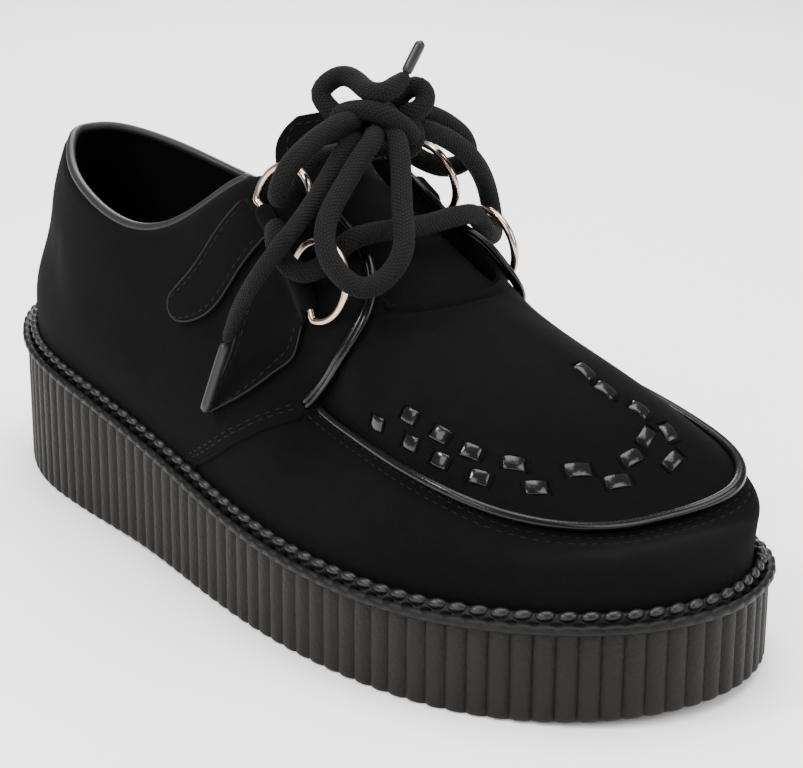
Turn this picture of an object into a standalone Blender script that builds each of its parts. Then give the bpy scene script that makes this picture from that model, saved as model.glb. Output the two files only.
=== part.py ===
"""A creeper shoe for the right foot: suede upper, piped apron, ringed lace tabs and a ribbed wedge sole.

The shoe stands on z = 0 with its toe along +X. The inner (medial) side of the foot is +Y.
The tables below are in millimetres. MM turns them into metres when a mesh is made.
"""

import math

import bmesh
import bpy
import numpy as np
from mathutils import Matrix, Vector

MM = 0.001

# Driving sizes
SOLE_LENGTH = 290.0
RIB_PITCH = 5.6
RIB_DEPTH = 1.1
TOE_SPRING = 3.0
SPRING_START = 98.0
ARCH_RISE = 3.0
EDGE_CHAMFER = 1.0
ARCH_MIDDLE = -32.0
ARCH_HALF_LENGTH = 42.0
ARCH_OUTER_SHARE = 0.2
UPPER_WALL = 2.2
UPPER_INSET = 4.3
SEAT_GAP = 0.3
BEAD_GAP = 0.5
CENTRE_Y = 0.6
PIPING_RADIUS = 1.3
RING_RADIUS = 10.5
RING_WIRE = 1.1
LACE_DIAMETER = 5.6
KNOT_LUMPS = 0.08

# How finely the pieces are divided
RIB_SHARES = (0.0, 0.26, 0.74)
WELT_COLUMNS = 72
INSOLE_COLUMNS = 60
UPPER_COLUMNS = 72
UPPER_LEVELS = (0.0, 0.05, 0.13, 0.24, 0.37, 0.5, 0.61, 0.73, 0.86, 1.0)
TONGUE_ROWS = 13
TONGUE_COLUMNS_ACROSS = 9
PIPING_STEP = 6.5
TAB_ROWS = 7
TAB_COLUMNS = 4
SLEEVE_SIDES = 8
RING_ARC_POINTS = 14
LACE_STEP = 5.0
CORD_STEP = 6.0

# Ends and corners of the piping: x, and the share of the wall's height
COLLAR_CORNER = (-3.0, 1.0)
CORNER_GAP = 0.006
APRON_END = 35.5
FACING_TOP = (-1.5, 3.0, 10.0, 18.0, 27.0, 34.0)
FACING_CORNER = 39.5
FACING_FALL = ((42.8, 0.965), (43.6, 0.90), (42.8, 0.80), (40.5, 0.70), (36.5, 0.62), (33.0, 0.56))

# Outline of the sole, a row for each section from heel to toe: x, lateral y, medial y
SOLE_SECTIONS = (
    (-137.0, -12.0, 15.0),
    (-124.0, -23.0, 27.5),
    (-102.0, -33.8, 36.6),
    (-74.0, -39.4, 38.6),
    (-44.0, -42.8, 37.0),
    (-14.0, -47.2, 37.8),
    (16.0, -52.4, 43.5),
    (44.0, -55.6, 51.4),
    (72.0, -55.4, 55.4),
    (96.0, -51.0, 53.2),
    (116.0, -41.8, 46.4),
    (131.0, -30.0, 36.4),
    (140.5, -16.5, 22.5),
)
HEEL_TIP = (-144.0, 1.0)
TOE_TIP = (145.0, 4.5)

# Height of the ribbed wedge at its edge
WEDGE_COLUMNS = ("x", "height")
WEDGE_HEIGHTS = (
    (-150.0, 43.6),
    (-83.5, 37.8),
    (-23.5, 30.8),
    (36.5, 24.2),
    (96.5, 22.9),
    (150.0, 25.4),
)

# Section of the welt strip: distance out from the sole's edge, height over the wedge
WELT_PROFILE = (
    (-15.0, 0.3),
    (0.9, 0.3),
    (1.6, 1.1),
    (1.4, 2.4),
    (0.3, 3.0),
    (-0.9, 1.9),
    (-1.7, 2.0),
    (-1.9, 3.9),
    (-2.9, 4.7),
    (-3.8, 4.0),
    (-3.9, 2.3),
    (-15.0, 2.3),
)
SEAT_HEIGHT = 2.3

# Section of the insole, with its core down on the wedge and its board on the welt
INSOLE_PROFILE = ((-15.4, 0.3), (-15.4, 2.6), (-10.5, 2.6), (-10.5, 5.4))

# Sections of the last, from the heel's middle to the toe. station is the x on the sole's outline that a
# section starts from. shoulder is its point half way up, which is the apron's seam in the forefoot, and
# top is its point on the edge of the collar, the facing or the throat.
LAST_COLUMNS = (
    "station", "shoulder_x", "shoulder_y", "shoulder_z", "top_x", "top_y", "top_z", "bulge", "crown",
)
LATERAL_SECTIONS = (
    (-145.0, -134.5, 0.6, 74.0, -119.5, 0.6, 106.0, 2.0, 1.0),
    (-137.0, -127.8, -9.5, 73.5, -118.3, -5.6, 105.6, 2.0, 1.0),
    (-124.0, -116.0, -17.8, 72.0, -112.8, -12.0, 103.8, 2.0, 1.0),
    (-102.0, -99.0, -26.5, 69.0, -99.3, -20.8, 98.8, 1.5, 1.0),
    (-74.0, -76.5, -34.5, 65.5, -78.5, -28.0, 93.5, 1.5, 1.0),
    (-44.0, -48.0, -37.5, 64.0, -53.5, -31.0, 90.0, 1.8, 1.0),
    (-14.0, -18.0, -37.0, 66.5, -27.5, -27.0, 98.0, 2.2, 1.5),
    (8.0, 4.0, -35.0, 67.0, -3.0, -21.5, 112.0, 3.0, 2.0),
    (27.0, 23.0, -32.5, 62.0, 18.0, -18.2, 105.8, 4.0, 3.0),
    (44.0, 39.0, -32.8, 56.6, 37.0, -19.2, 95.2, 4.5, 4.0),
    (60.0, 53.0, -35.0, 54.8, 45.5, -20.5, 87.3, 4.8, 4.5),
    (78.0, 69.0, -36.8, 52.8, 49.5, -16.5, 86.0, 5.0, 5.0),
    (98.0, 86.0, -36.4, 50.2, 51.0, -12.0, 85.6, 5.2, 5.5),
    (117.0, 100.8, -30.2, 46.0, 51.8, -8.0, 85.4, 5.5, 5.6),
    (131.0, 110.4, -18.8, 42.6, 52.2, -5.0, 85.4, 6.0, 5.3),
    (140.5, 115.5, -7.2, 40.8, 52.4, -2.0, 85.4, 6.2, 5.0),
)
MEDIAL_SECTIONS = (
    (145.0, 118.2, 6.0, 40.2, 52.5, 1.0, 85.4, 6.2, 4.6),
    (140.5, 120.6, 18.7, 40.9, 52.4, 4.0, 85.4, 6.0, 4.2),
    (131.0, 122.2, 30.8, 43.8, 52.2, 7.0, 85.4, 4.5, 3.4),
    (117.0, 115.6, 38.9, 47.8, 51.8, 10.0, 85.4, 4.0, 2.2),
    (98.0, 99.5, 41.8, 52.6, 51.0, 13.5, 85.6, 2.8, 1.2),
    (78.0, 80.0, 41.4, 57.2, 49.5, 17.5, 86.0, 1.5, 0.8),
    (60.0, 62.0, 39.6, 60.6, 45.5, 21.7, 87.3, 1.0, 0.6),
    (44.0, 45.0, 37.4, 63.2, 37.0, 20.4, 95.2, 1.0, 1.0),
    (27.0, 25.0, 36.0, 66.0, 18.0, 19.4, 105.8, 1.2, 1.5),
    (8.0, 5.0, 35.5, 68.0, -3.0, 22.7, 112.0, 2.0, 2.0),
    (-14.0, -18.0, 35.6, 67.0, -27.5, 28.2, 98.0, 1.8, 1.5),
    (-44.0, -48.0, 36.4, 64.5, -53.5, 32.2, 90.0, 1.8, 1.0),
    (-74.0, -76.5, 35.4, 65.5, -78.5, 29.2, 93.5, 1.5, 1.0),
    (-102.0, -99.0, 27.7, 69.0, -99.3, 22.0, 99.8, 1.5, 1.0),
    (-124.0, -116.0, 19.0, 72.0, -112.8, 13.2, 104.2, 2.0, 1.0),
    (-137.0, -127.8, 10.7, 73.5, -118.3, 6.8, 105.6, 2.0, 1.0),
)

# Tongue, a row for each section from its hidden front end to its rounded top: x, z, half width, drop at the edges
TONGUE_SECTIONS = (
    (59.0, 76.6, 11.0, 3.4),
    (52.0, 80.4, 14.0, 5.0),
    (45.0, 86.0, 15.5, 7.0),
    (36.0, 93.4, 16.4, 8.0),
    (26.0, 99.8, 16.6, 8.0),
    (15.0, 105.8, 16.6, 7.6),
    (7.0, 111.0, 16.6, 7.0),
    (0.5, 117.0, 16.0, 5.8),
    (-3.0, 122.8, 13.0, 3.4),
    (-4.6, 126.6, 7.0, 1.2),
)
TONGUE_THICKNESS = 2.0
TONGUE_ARCH = 2.2

# Lace tabs, as the two edges of each from its pointed end to its wide end: x and share of the wall's height
TAB_THICKNESS = 1.2
TAB_LIFT = 0.45
TAB_TIP_SHARE = 0.2
TABS = {
    "upper": {
        "back": ((-24.0, 0.60), (-24.5, 0.68), (-17.2, 0.758), (-11.0, 0.85), (-4.5, 0.93)),
        "front": ((-24.0, 0.60), (-18.5, 0.56), (-8.0, 0.60), (0.0, 0.72), (7.6, 0.86)),
        "ring": (12.0, 26.6, 107.2),
        "reach": (0.61, -0.24, 0.76),
        "bar": (0.74, 0.15, -0.66),
    },
    "lower": {
        "back": ((3.3, 0.275), (3.0, 0.42), (4.0, 0.58), (6.0, 0.70), (10.0, 0.82)),
        "front": ((3.3, 0.275), (12.4, 0.375), (18.9, 0.50), (24.5, 0.60), (27.0, 0.72)),
        "ring": (31.8, 30.6, 90.8),
        "reach": (0.78, -0.12, 0.61),
        "bar": (0.68, 0.09, -0.725),
    },
}
RING_FLAT = 6.6
SLEEVE_LENGTH = 11.0
SLEEVE_BORE = 1.5
SLEEVE_WALL = 1.0
TAB_END_INSET = 0.5
TAB_SINK = 0.42
WELD_GAP = 0.02

# Laces as hand-set routes. In a half route y is measured outwards from the middle of the shoe.
LACE_BAR_FAR = (
    (37.0, 0.0, 101.9), (36.8, 10.0, 102.3), (36.0, 17.5, 102.2), (34.8, 21.8, 101.2), (33.4, 26.0, 98.0),
    (31.6, 30.2, 94.4), (29.0, 34.6, 92.8), (26.2, 37.6, 95.0), (24.4, 38.2, 100.0), (24.4, 36.2, 106.0),
    (25.6, 31.6, 112.0), (26.5, 25.5, 117.4), (26.6, 18.6, 121.6), (26.0, 11.4, 124.6),
)
LACE_BAR_NEAR = (
    (36.8, 10.0, 102.3), (36.0, 17.5, 102.2), (34.8, 21.8, 101.2), (33.4, 26.0, 98.0), (31.6, 30.2, 94.4),
    (28.8, 34.4, 93.4), (25.4, 36.8, 96.0), (22.0, 36.8, 99.8), (18.8, 34.6, 102.4), (16.2, 31.6, 103.4),
)
LACE_TOP_HALF = (
    (8.0, 0.0, 117.6), (8.6, 9.0, 117.5), (10.2, 16.0, 117.2), (11.2, 19.4, 115.2), (14.2, 25.6, 111.4),
    (16.0, 30.4, 110.4), (18.8, 33.4, 112.4), (20.2, 32.4, 117.4), (20.6, 27.6, 122.2), (20.6, 21.0, 126.0),
    (20.4, 15.4, 128.0), (20.2, 12.4, 128.6),
)
KNOT_CENTRE = (20.0, 0.6, 127.0)
KNOT_SIZE = (7.2, 10.0, 5.8)
KNOT_LEAN = 20.0
CORDS = {
    "lace_loop_front": (
        (28.0, -8.4, 124.6), (30.2, -14.8, 120.6), (32.0, -21.0, 115.6), (34.6, -28.6, 109.3),
        (38.6, -33.6, 103.3), (44.8, -34.5, 96.7), (50.0, -30.6, 92.9), (52.1, -23.7, 95.6),
        (50.8, -17.8, 101.1), (45.4, -13.0, 107.3), (38.6, -7.6, 114.9), (33.2, -3.4, 121.0), (29.4, -1.4, 124.6),
    ),
    "lace_end_short": (
        (11.4, -6.6, 129.0), (8.5, -7.6, 131.0), (6.3, -7.9, 134.0), (7.0, -5.6, 137.1), (9.9, -3.1, 138.8),
        (14.2, -2.3, 138.0), (18.5, -3.0, 136.6), (22.1, -3.2, 136.0), (24.8, -1.6, 136.2), (25.2, 0.9, 137.0),
        (25.0, 3.2, 138.0), (25.0, 5.0, 139.2), (24.8, 6.5, 140.9),
    ),
    "lace_end_long": (
        (22.2, -12.2, 122.4), (23.4, -16.6, 119.4), (25.2, -21.6, 115.6), (27.2, -28.6, 110.2),
        (29.0, -36.9, 104.4), (27.1, -42.9, 97.4), (21.1, -44.4, 89.2), (13.6, -43.6, 79.6), (8.5, -43.0, 71.4),
    ),
}
AGLET_RADIUS = 1.5
AGLETS = {
    "aglet_long": ((7.9, -43.1, 70.0), (4.9, -48.0, 52.2)),
    "aglet_short": ((24.8, 6.8, 141.4), (25.3, 11.4, 148.6)),
}

# Colour, roughness and metallic value of each finish
FINISHES = {
    "suede": ((0.012, 0.012, 0.014), 0.95, 0.0),
    "leather": ((0.008, 0.008, 0.009), 0.32, 0.0),
    "binding": ((0.045, 0.040, 0.037), 0.45, 0.0),
    "rubber": ((0.030, 0.028, 0.027), 0.75, 0.0),
    "lace": ((0.016, 0.016, 0.018), 0.85, 0.0),
    "aglet": ((0.10, 0.095, 0.09), 0.35, 0.0),
    "nickel": ((0.60, 0.52, 0.46), 0.18, 1.0),
    "board": ((0.02, 0.02, 0.022), 0.80, 0.0),
}


def column(rows, names, name):
    """One named column of a table."""
    return np.array([row[names.index(name)] for row in rows])


def spline(knots, values, at):
    """Natural cubic spline through values at knots, read at the places given."""
    knots = np.asarray(knots, float)
    values = np.asarray(values, float)
    at = np.asarray(at, float)
    flat = values.reshape(len(knots), -1)
    step = np.diff(knots)
    slope = np.diff(flat, axis=0) / step[:, None]
    matrix = np.eye(len(knots))
    right = np.zeros_like(flat)
    for i in range(1, len(knots) - 1):
        matrix[i, i - 1:i + 2] = step[i - 1], 2 * (step[i - 1] + step[i]), step[i]
        right[i] = 3 * (slope[i] - slope[i - 1])
    curve = np.linalg.solve(matrix, right)
    k = np.clip(np.searchsorted(knots, at.ravel(), side="right") - 1, 0, len(knots) - 2)
    h = step[k, None]
    u = (at.ravel() - knots[k])[:, None]
    linear = slope[k] - h * (2 * curve[k] + curve[k + 1]) / 3
    read = flat[k] + u * (linear + u * (curve[k] + u * (curve[k + 1] - curve[k]) / (3 * h)))
    return read.reshape(at.shape + values.shape[1:])


def loop_spline(knots, values, at, period=1.0):
    """Smooth closed curve: the same spline over a list wrapped round at both ends."""
    wrap = 4
    knots = np.asarray(knots, float)
    values = np.asarray(values, float)
    long_knots = np.concatenate([knots[-wrap:] - period, knots, knots[:wrap] + period])
    long_values = np.concatenate([values[-wrap:], values, values[:wrap]])
    return spline(long_knots, long_values, np.mod(at, period))


def outline_points():
    """The sole's control points, from the heel's tip along the lateral side to the toe and back."""
    lateral = [(x, y) for x, y, _ in SOLE_SECTIONS]
    medial = [(x, y) for x, _, y in reversed(SOLE_SECTIONS)]
    return np.array([HEEL_TIP] + lateral + [TOE_TIP] + medial)


class Outline:
    """The sole's outline as a closed curve, read by arc length from 0 to 1."""

    def __init__(self):
        control = outline_points()
        closed = np.vstack([control, control[:1]])
        knots = np.concatenate([[0], np.cumsum(np.linalg.norm(np.diff(closed, axis=0), axis=1))])
        fine = np.linspace(0, knots[-1], 2401)
        points = loop_spline(knots[:-1], control, fine, knots[-1])
        arc = np.concatenate([[0], np.cumsum(np.linalg.norm(np.diff(points, axis=0), axis=1))])
        self.length = arc[-1]
        self.share = arc / arc[-1]
        self.points = points

    def at(self, s):
        s = np.mod(s, 1.0)
        return np.stack([np.interp(s, self.share, self.points[:, i]) for i in (0, 1)], -1)

    def normal(self, s, reach=0.004):
        along = self.at(s + reach) - self.at(s - reach)
        along /= np.linalg.norm(along, axis=-1, keepdims=True)
        return np.stack([along[..., 1], -along[..., 0]], -1)

    def place(self, x, medial=False):
        """Arc position of the outline's point at x on one side."""
        s = np.linspace(0.5, 1.0, 2001) if medial else np.linspace(0.0, 0.5, 2001)
        return s[np.argmin(abs(self.at(s)[:, 0] - x))]


OUTLINE = Outline()


def wedge_height(x):
    return spline(column(WEDGE_HEIGHTS, WEDGE_COLUMNS, "x"), column(WEDGE_HEIGHTS, WEDGE_COLUMNS, "height"), x)


def sole_offset(s, out, up):
    """Point beside the wedge's top edge: out from the sole's edge and up from the wedge's height."""
    plan = OUTLINE.at(s) + OUTLINE.normal(s) * np.asarray(out, float)[..., None]
    return np.concatenate([plan, (wedge_height(plan[..., 0]) + up)[..., None]], -1)


class Last:
    """The outer surface of the upper. s runs round the shoe and t from the welt to the top edge."""

    LEVELS = (0.0, 0.04, 0.26, 0.5, 0.72, 1.0)

    def __init__(self):
        rows = LATERAL_SECTIONS + MEDIAL_SECTIONS
        stations = column(rows, LAST_COLUMNS, "station")
        half = len(LATERAL_SECTIONS)
        self.keys = np.array([
            0.0 if i == 0 else OUTLINE.place(x, medial=i >= half) for i, x in enumerate(stations)
        ])
        self.shoulders = np.stack([column(rows, LAST_COLUMNS, "shoulder_" + a) for a in "xyz"], -1)
        self.tops = np.stack([column(rows, LAST_COLUMNS, "top_" + a) for a in "xyz"], -1)
        self.bulges = column(rows, LAST_COLUMNS, "bulge")
        self.crowns = column(rows, LAST_COLUMNS, "crown")

    def section(self, s):
        """Control points of the sections at s, one row for each level."""
        foot = sole_offset(s, -UPPER_INSET, SEAT_HEIGHT + SEAT_GAP)
        shoulder = loop_spline(self.keys, self.shoulders, s)
        top = loop_spline(self.keys, self.tops, s)
        bulge = loop_spline(self.keys, self.bulges, s)[:, None]
        crown = loop_spline(self.keys, self.crowns, s)[:, None]
        out = np.concatenate([OUTLINE.normal(s), np.zeros((len(s), 1))], -1)
        rise = foot + np.array([0.0, 0.0, 2.0])
        lower = foot + (shoulder - foot) * 0.5 + square_to(out, shoulder - foot) * bulge
        upward = out + np.array([0.0, 0.0, 0.6])
        upper = shoulder + (top - shoulder) * 0.42 + square_to(upward, top - shoulder) * crown
        return np.stack([foot, rise, lower, shoulder, upper, top])

    def at(self, s, t):
        """Points of the surface at matching lists of s and t."""
        s = np.atleast_1d(np.asarray(s, float))
        t = np.broadcast_to(np.asarray(t, float), s.shape)
        levels = self.section(s)
        return np.array([spline(self.LEVELS, levels[:, i], t[i:i + 1])[0] for i in range(len(s))])

    def grid(self, s, t):
        """Points of the surface on a grid: one row for each t, one column for each s."""
        return spline(self.LEVELS, self.section(np.asarray(s, float)), np.asarray(t, float))

    def frame(self, s, t, reach=0.004):
        """Unit vectors at places on the surface: out of the wall, and up it towards its top edge."""
        s = np.atleast_1d(np.asarray(s, float))
        t = np.broadcast_to(np.asarray(t, float), s.shape)
        around = self.at(s + reach, t) - self.at(s - reach, t)
        rise = self.at(s, t) - self.at(s, t - reach)
        out = np.cross(around, rise)
        out /= np.linalg.norm(out, axis=-1, keepdims=True)
        return out, rise / np.linalg.norm(rise, axis=-1, keepdims=True)

    def find(self, x, t, medial):
        """The s at which the surface has the given x at height share t, on one side."""
        s = np.linspace(0.5, 1.0, 501) if medial else np.linspace(0.0, 0.5, 501)
        return s[np.argmin(abs(self.grid(s, [t])[0][:, 0] - x))]


def square_to(direction, chord):
    """The part of direction that is square to chord, as a unit vector."""
    unit = chord / np.linalg.norm(chord, axis=-1, keepdims=True)
    rest = direction - (direction * unit).sum(-1, keepdims=True) * unit
    return rest / np.linalg.norm(rest, axis=-1, keepdims=True)


LAST = Last()


def clear_scene():
    for old in list(bpy.data.objects):
        bpy.data.objects.remove(old, do_unlink=True)


def new_collection(name):
    collection = bpy.data.collections.new(name)
    bpy.context.scene.collection.children.link(collection)
    return collection


def finish_for(name, finish):
    colour, roughness, metallic = FINISHES[finish]
    material = bpy.data.materials.new(name + "_" + finish)
    material.use_nodes = True
    shader = material.node_tree.nodes["Principled BSDF"]
    shader.inputs["Base Color"].default_value = (*colour, 1.0)
    shader.inputs["Roughness"].default_value = roughness
    shader.inputs["Metallic"].default_value = metallic
    return material


def add_object(name, data, finish, collection):
    """Links one named piece with a material of its own."""
    piece = bpy.data.objects.new(name, data)
    data.materials.append(finish_for(name, finish))
    collection.objects.link(piece)
    return piece


def skin(rows, around=True, over=False):
    """A bmesh skin through rows of points in millimetres.

    around joins the end of each row to its start, and over joins the last row to the first.
    """
    mesh = bmesh.new()
    grid = [[mesh.verts.new(Vector(p) * MM) for p in row] for row in rows]
    count = len(grid[0])
    pairs = list(zip(grid, grid[1:]))
    if over:
        pairs.append((grid[-1], grid[0]))
    for low, high in pairs:
        for i in range(count if around else count - 1):
            j = (i + 1) % count
            mesh.faces.new((low[i], low[j], high[j], high[i]))
    return mesh, grid


def lid(mesh, ring, up):
    """Closes a ring whose halves mirror each other, with strips from one side to the other."""
    count = len(ring)
    for i in range(count // 2):
        corners = [ring[i], ring[i + 1], ring[count - i - 1], ring[(count - i) % count]]
        corners = list(dict.fromkeys(corners))
        mesh.faces.new(corners if up else corners[::-1])


def finish_mesh(name, mesh, smooth_angle=40.0):
    """Turns a bmesh into mesh data that is shaded smooth up to an angle."""
    data = bpy.data.meshes.new(name)
    mesh.to_mesh(data)
    mesh.free()
    data.shade_smooth()
    data.set_sharp_from_angle(angle=math.radians(smooth_angle))
    return data


def route(points, step):
    """Evenly spaced points on the smooth curve through a list of points."""
    points = np.asarray(points, float)
    chords = np.linalg.norm(np.diff(points, axis=0), axis=1)
    knots = np.concatenate([[0], np.cumsum(chords)])
    fine = np.linspace(0, knots[-1], 60 * len(points))
    curve = spline(knots, points, fine)
    arc = np.concatenate([[0], np.cumsum(np.linalg.norm(np.diff(curve, axis=0), axis=1))])
    count = max(2, round(arc[-1] / step)) + 1
    at = np.linspace(0, arc[-1], count)
    return np.stack([np.interp(at, arc, curve[:, i]) for i in range(3)], -1)


def tube(name, points, radius, finish, collection, resolution=2, cyclic=False):
    """Round tube along points in millimetres, with filled ends unless it closes on itself."""
    curve = bpy.data.curves.new(name, "CURVE")
    curve.dimensions = "3D"
    curve.bevel_depth = radius * MM
    curve.bevel_resolution = resolution
    curve.use_fill_caps = not cyclic
    line = curve.splines.new("POLY")
    line.points.add(len(points) - 1)
    for point, place in zip(line.points, points):
        point.co = (*(Vector(place) * MM), 1.0)
    line.use_cyclic_u = cyclic
    return add_object(name, curve, finish, collection)


def ground_height(x, y):
    """Height of the sole's underside: flat under heel and ball, raised at the arch and the toe."""
    toe = np.clip((x - SPRING_START) / (SOLE_LENGTH / 2 - SPRING_START), 0, 1)
    arch = np.clip(abs(x - ARCH_MIDDLE) / ARCH_HALF_LENGTH, 0, 1)
    inner = ARCH_OUTER_SHARE + (1 - ARCH_OUTER_SHARE) * np.clip((y + 45.0) / 85.0, 0, 1)
    return TOE_SPRING * toe ** 2 + ARCH_RISE * 0.5 * (1 + np.cos(math.pi * arch)) * inner


def make_outsole(collection):
    """Wedge with upright ribs all round its side."""
    ribs = round(OUTLINE.length / RIB_PITCH / 2) * 2
    places = [rib + share for rib in range(ribs) for share in RIB_SHARES]
    s = np.array(places) / ribs
    depth = np.tile([-RIB_DEPTH, 0.0, 0.0], ribs)
    edge = sole_offset(s, depth, 0.0)
    foot = edge.copy()
    foot[:, 2] = ground_height(edge[:, 0], edge[:, 1])
    base = sole_offset(s, depth - EDGE_CHAMFER, 0.0)
    base[:, 2] = foot[:, 2]
    foot[:, 2] += EDGE_CHAMFER
    mesh, grid = skin([base, foot, edge])
    lid(mesh, grid[0], up=False)
    lid(mesh, grid[-1], up=True)
    return add_object("outsole", finish_mesh("outsole", mesh, 25.0), "rubber", collection)


def ring_rows(profile, count):
    """Rows round the shoe, one for each point of a section given as out and up."""
    s = np.arange(count) / count
    return [sole_offset(s, np.full(count, out), up) for out, up in profile]


def make_welt(collection):
    mesh, _ = skin(ring_rows(WELT_PROFILE, WELT_COLUMNS), over=True)
    return add_object("welt", finish_mesh("welt", mesh), "rubber", collection)


def make_insole(collection):
    """Board on the welt's seat, with its core filling the middle down to the wedge."""
    mesh, grid = skin(ring_rows(INSOLE_PROFILE, INSOLE_COLUMNS))
    lid(mesh, grid[0], up=False)
    lid(mesh, grid[-1], up=True)
    return add_object("insole", finish_mesh("insole", mesh), "board", collection)


def make_upper(collection):
    """Hollow wall over the last, open at the collar and throat and underneath."""
    s = np.arange(UPPER_COLUMNS) / UPPER_COLUMNS
    mesh, _ = skin(LAST.grid(s, UPPER_LEVELS))
    upper = add_object("upper", finish_mesh("upper", mesh, 60.0), "suede", collection)
    wall = upper.modifiers.new("wall", "SOLIDIFY")
    wall.thickness = UPPER_WALL * MM
    wall.offset = -1.0
    wall.use_even_offset = True
    return upper


def tongue_rows():
    """Sections of the tongue's upper face, arched across from side to side."""
    rows = np.array(TONGUE_SECTIONS)
    across = np.linspace(-1, 1, TONGUE_COLUMNS_ACROSS)
    knots = np.linspace(0, 1, len(rows))
    smooth = spline(knots, rows, np.linspace(0, 1, TONGUE_ROWS))
    lines = []
    for (x, z, half, drop), ahead in zip(smooth, np.gradient(smooth[:, :2], axis=0)):
        ahead = ahead / np.linalg.norm(ahead)
        inward = np.array([-ahead[1], ahead[0]])
        inward = inward if inward[1] < 0 else -inward
        fall = drop * abs(across) ** TONGUE_ARCH
        lines.append([
            (x + inward[0] * f, CENTRE_Y + half * a, z + inward[1] * f) for a, f in zip(across, fall)
        ])
    return lines


def make_tongue(collection):
    mesh, _ = skin(tongue_rows(), around=False)
    bmesh.ops.recalc_face_normals(mesh, faces=mesh.faces)
    if sum(face.normal.z for face in mesh.faces) < 0:
        bmesh.ops.reverse_faces(mesh, faces=mesh.faces)
    tongue = add_object("tongue", finish_mesh("tongue", mesh, 60.0), "suede", collection)
    wall = tongue.modifiers.new("thickness", "SOLIDIFY")
    wall.thickness = TONGUE_THICKNESS * MM
    wall.offset = -1.0
    return tongue


def edge_bead(s):
    """Centre of a bead of piping that sits on the wall's top edge."""
    out, rise = LAST.frame(s, 1.0)
    return LAST.at(s, 1.0) - out * UPPER_WALL / 2 + rise * (PIPING_RADIUS + BEAD_GAP)


def corner_bead(s):
    """Centre of a bead that turns over the outer corner of the wall's top edge."""
    out, rise = LAST.frame(s, 1.0)
    return LAST.at(s, 1.0) + (out + rise) * (PIPING_RADIUS + BEAD_GAP)


def face_bead(s, t, lift=PIPING_RADIUS + BEAD_GAP):
    """Centre of a bead of piping that lies on the wall's outer face."""
    out, _ = LAST.frame(s, t)
    return LAST.at(s, t) + out * lift


def make_piping(collection):
    """Collar binding, apron piping, and the facing piping of each side."""
    lateral = LAST.find(*COLLAR_CORNER, medial=False)
    medial = LAST.find(*COLLAR_CORNER, medial=True)
    back = np.linspace(lateral - CORNER_GAP, medial + CORNER_GAP - 1.0, 40)
    tube("piping_collar", route(edge_bead(back), PIPING_STEP), PIPING_RADIUS, "binding", collection, 1)
    start = LAST.find(APRON_END, 0.5, medial=False)
    end = LAST.find(APRON_END, 0.5, medial=True)
    front = np.linspace(start, end, 40)
    tube("piping_apron", route(face_bead(front, 0.5), PIPING_STEP), PIPING_RADIUS, "leather", collection, 1)
    for side, is_medial in (("lateral", False), ("medial", True)):
        top = [LAST.find(x, 1.0, is_medial) for x in FACING_TOP]
        over = [edge_bead([s])[0] for s in top]
        over.append(corner_bead([LAST.find(FACING_CORNER, 1.0, is_medial)])[0])
        down = [face_bead([LAST.find(x, t, is_medial)], t)[0] for x, t in FACING_FALL]
        name = "piping_facing_" + side
        tube(name, route(over + down, PIPING_STEP), PIPING_RADIUS, "leather", collection, 1)


def mirrored(point, medial):
    """A point given by its distance out from the middle of the shoe, on the side asked for."""
    x, out, z = point
    return np.array([x, CENTRE_Y + (out if medial else -out), z])


def ring_frame(tab, medial):
    """Centre of a tab's ring, its direction away from the tab, and the direction of its straight bar."""
    centre = mirrored(tab["ring"], medial)
    turn = np.array([1.0, 1.0 if medial else -1.0, 1.0])
    reach = np.array(tab["reach"]) * turn
    bar = np.array(tab["bar"]) * turn
    reach = reach / np.linalg.norm(reach)
    bar = bar - reach * (bar @ reach)
    return centre, reach, bar / np.linalg.norm(bar)


def make_ring(name, tab, medial, collection):
    """D-ring of round wire: an arc closed by a straight bar."""
    centre, reach, bar = ring_frame(tab, medial)
    open_angle = math.acos(RING_FLAT / RING_RADIUS)
    angles = np.linspace(-math.pi + open_angle, math.pi - open_angle, RING_ARC_POINTS)
    arc = [centre + RING_RADIUS * (reach * math.cos(a) + bar * math.sin(a)) for a in angles]
    flat = [arc[-1] + (arc[0] - arc[-1]) * share for share in (0.15, 0.85)]
    return tube(name, arc + flat, RING_WIRE, "nickel", collection, 1, cyclic=True)


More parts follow.
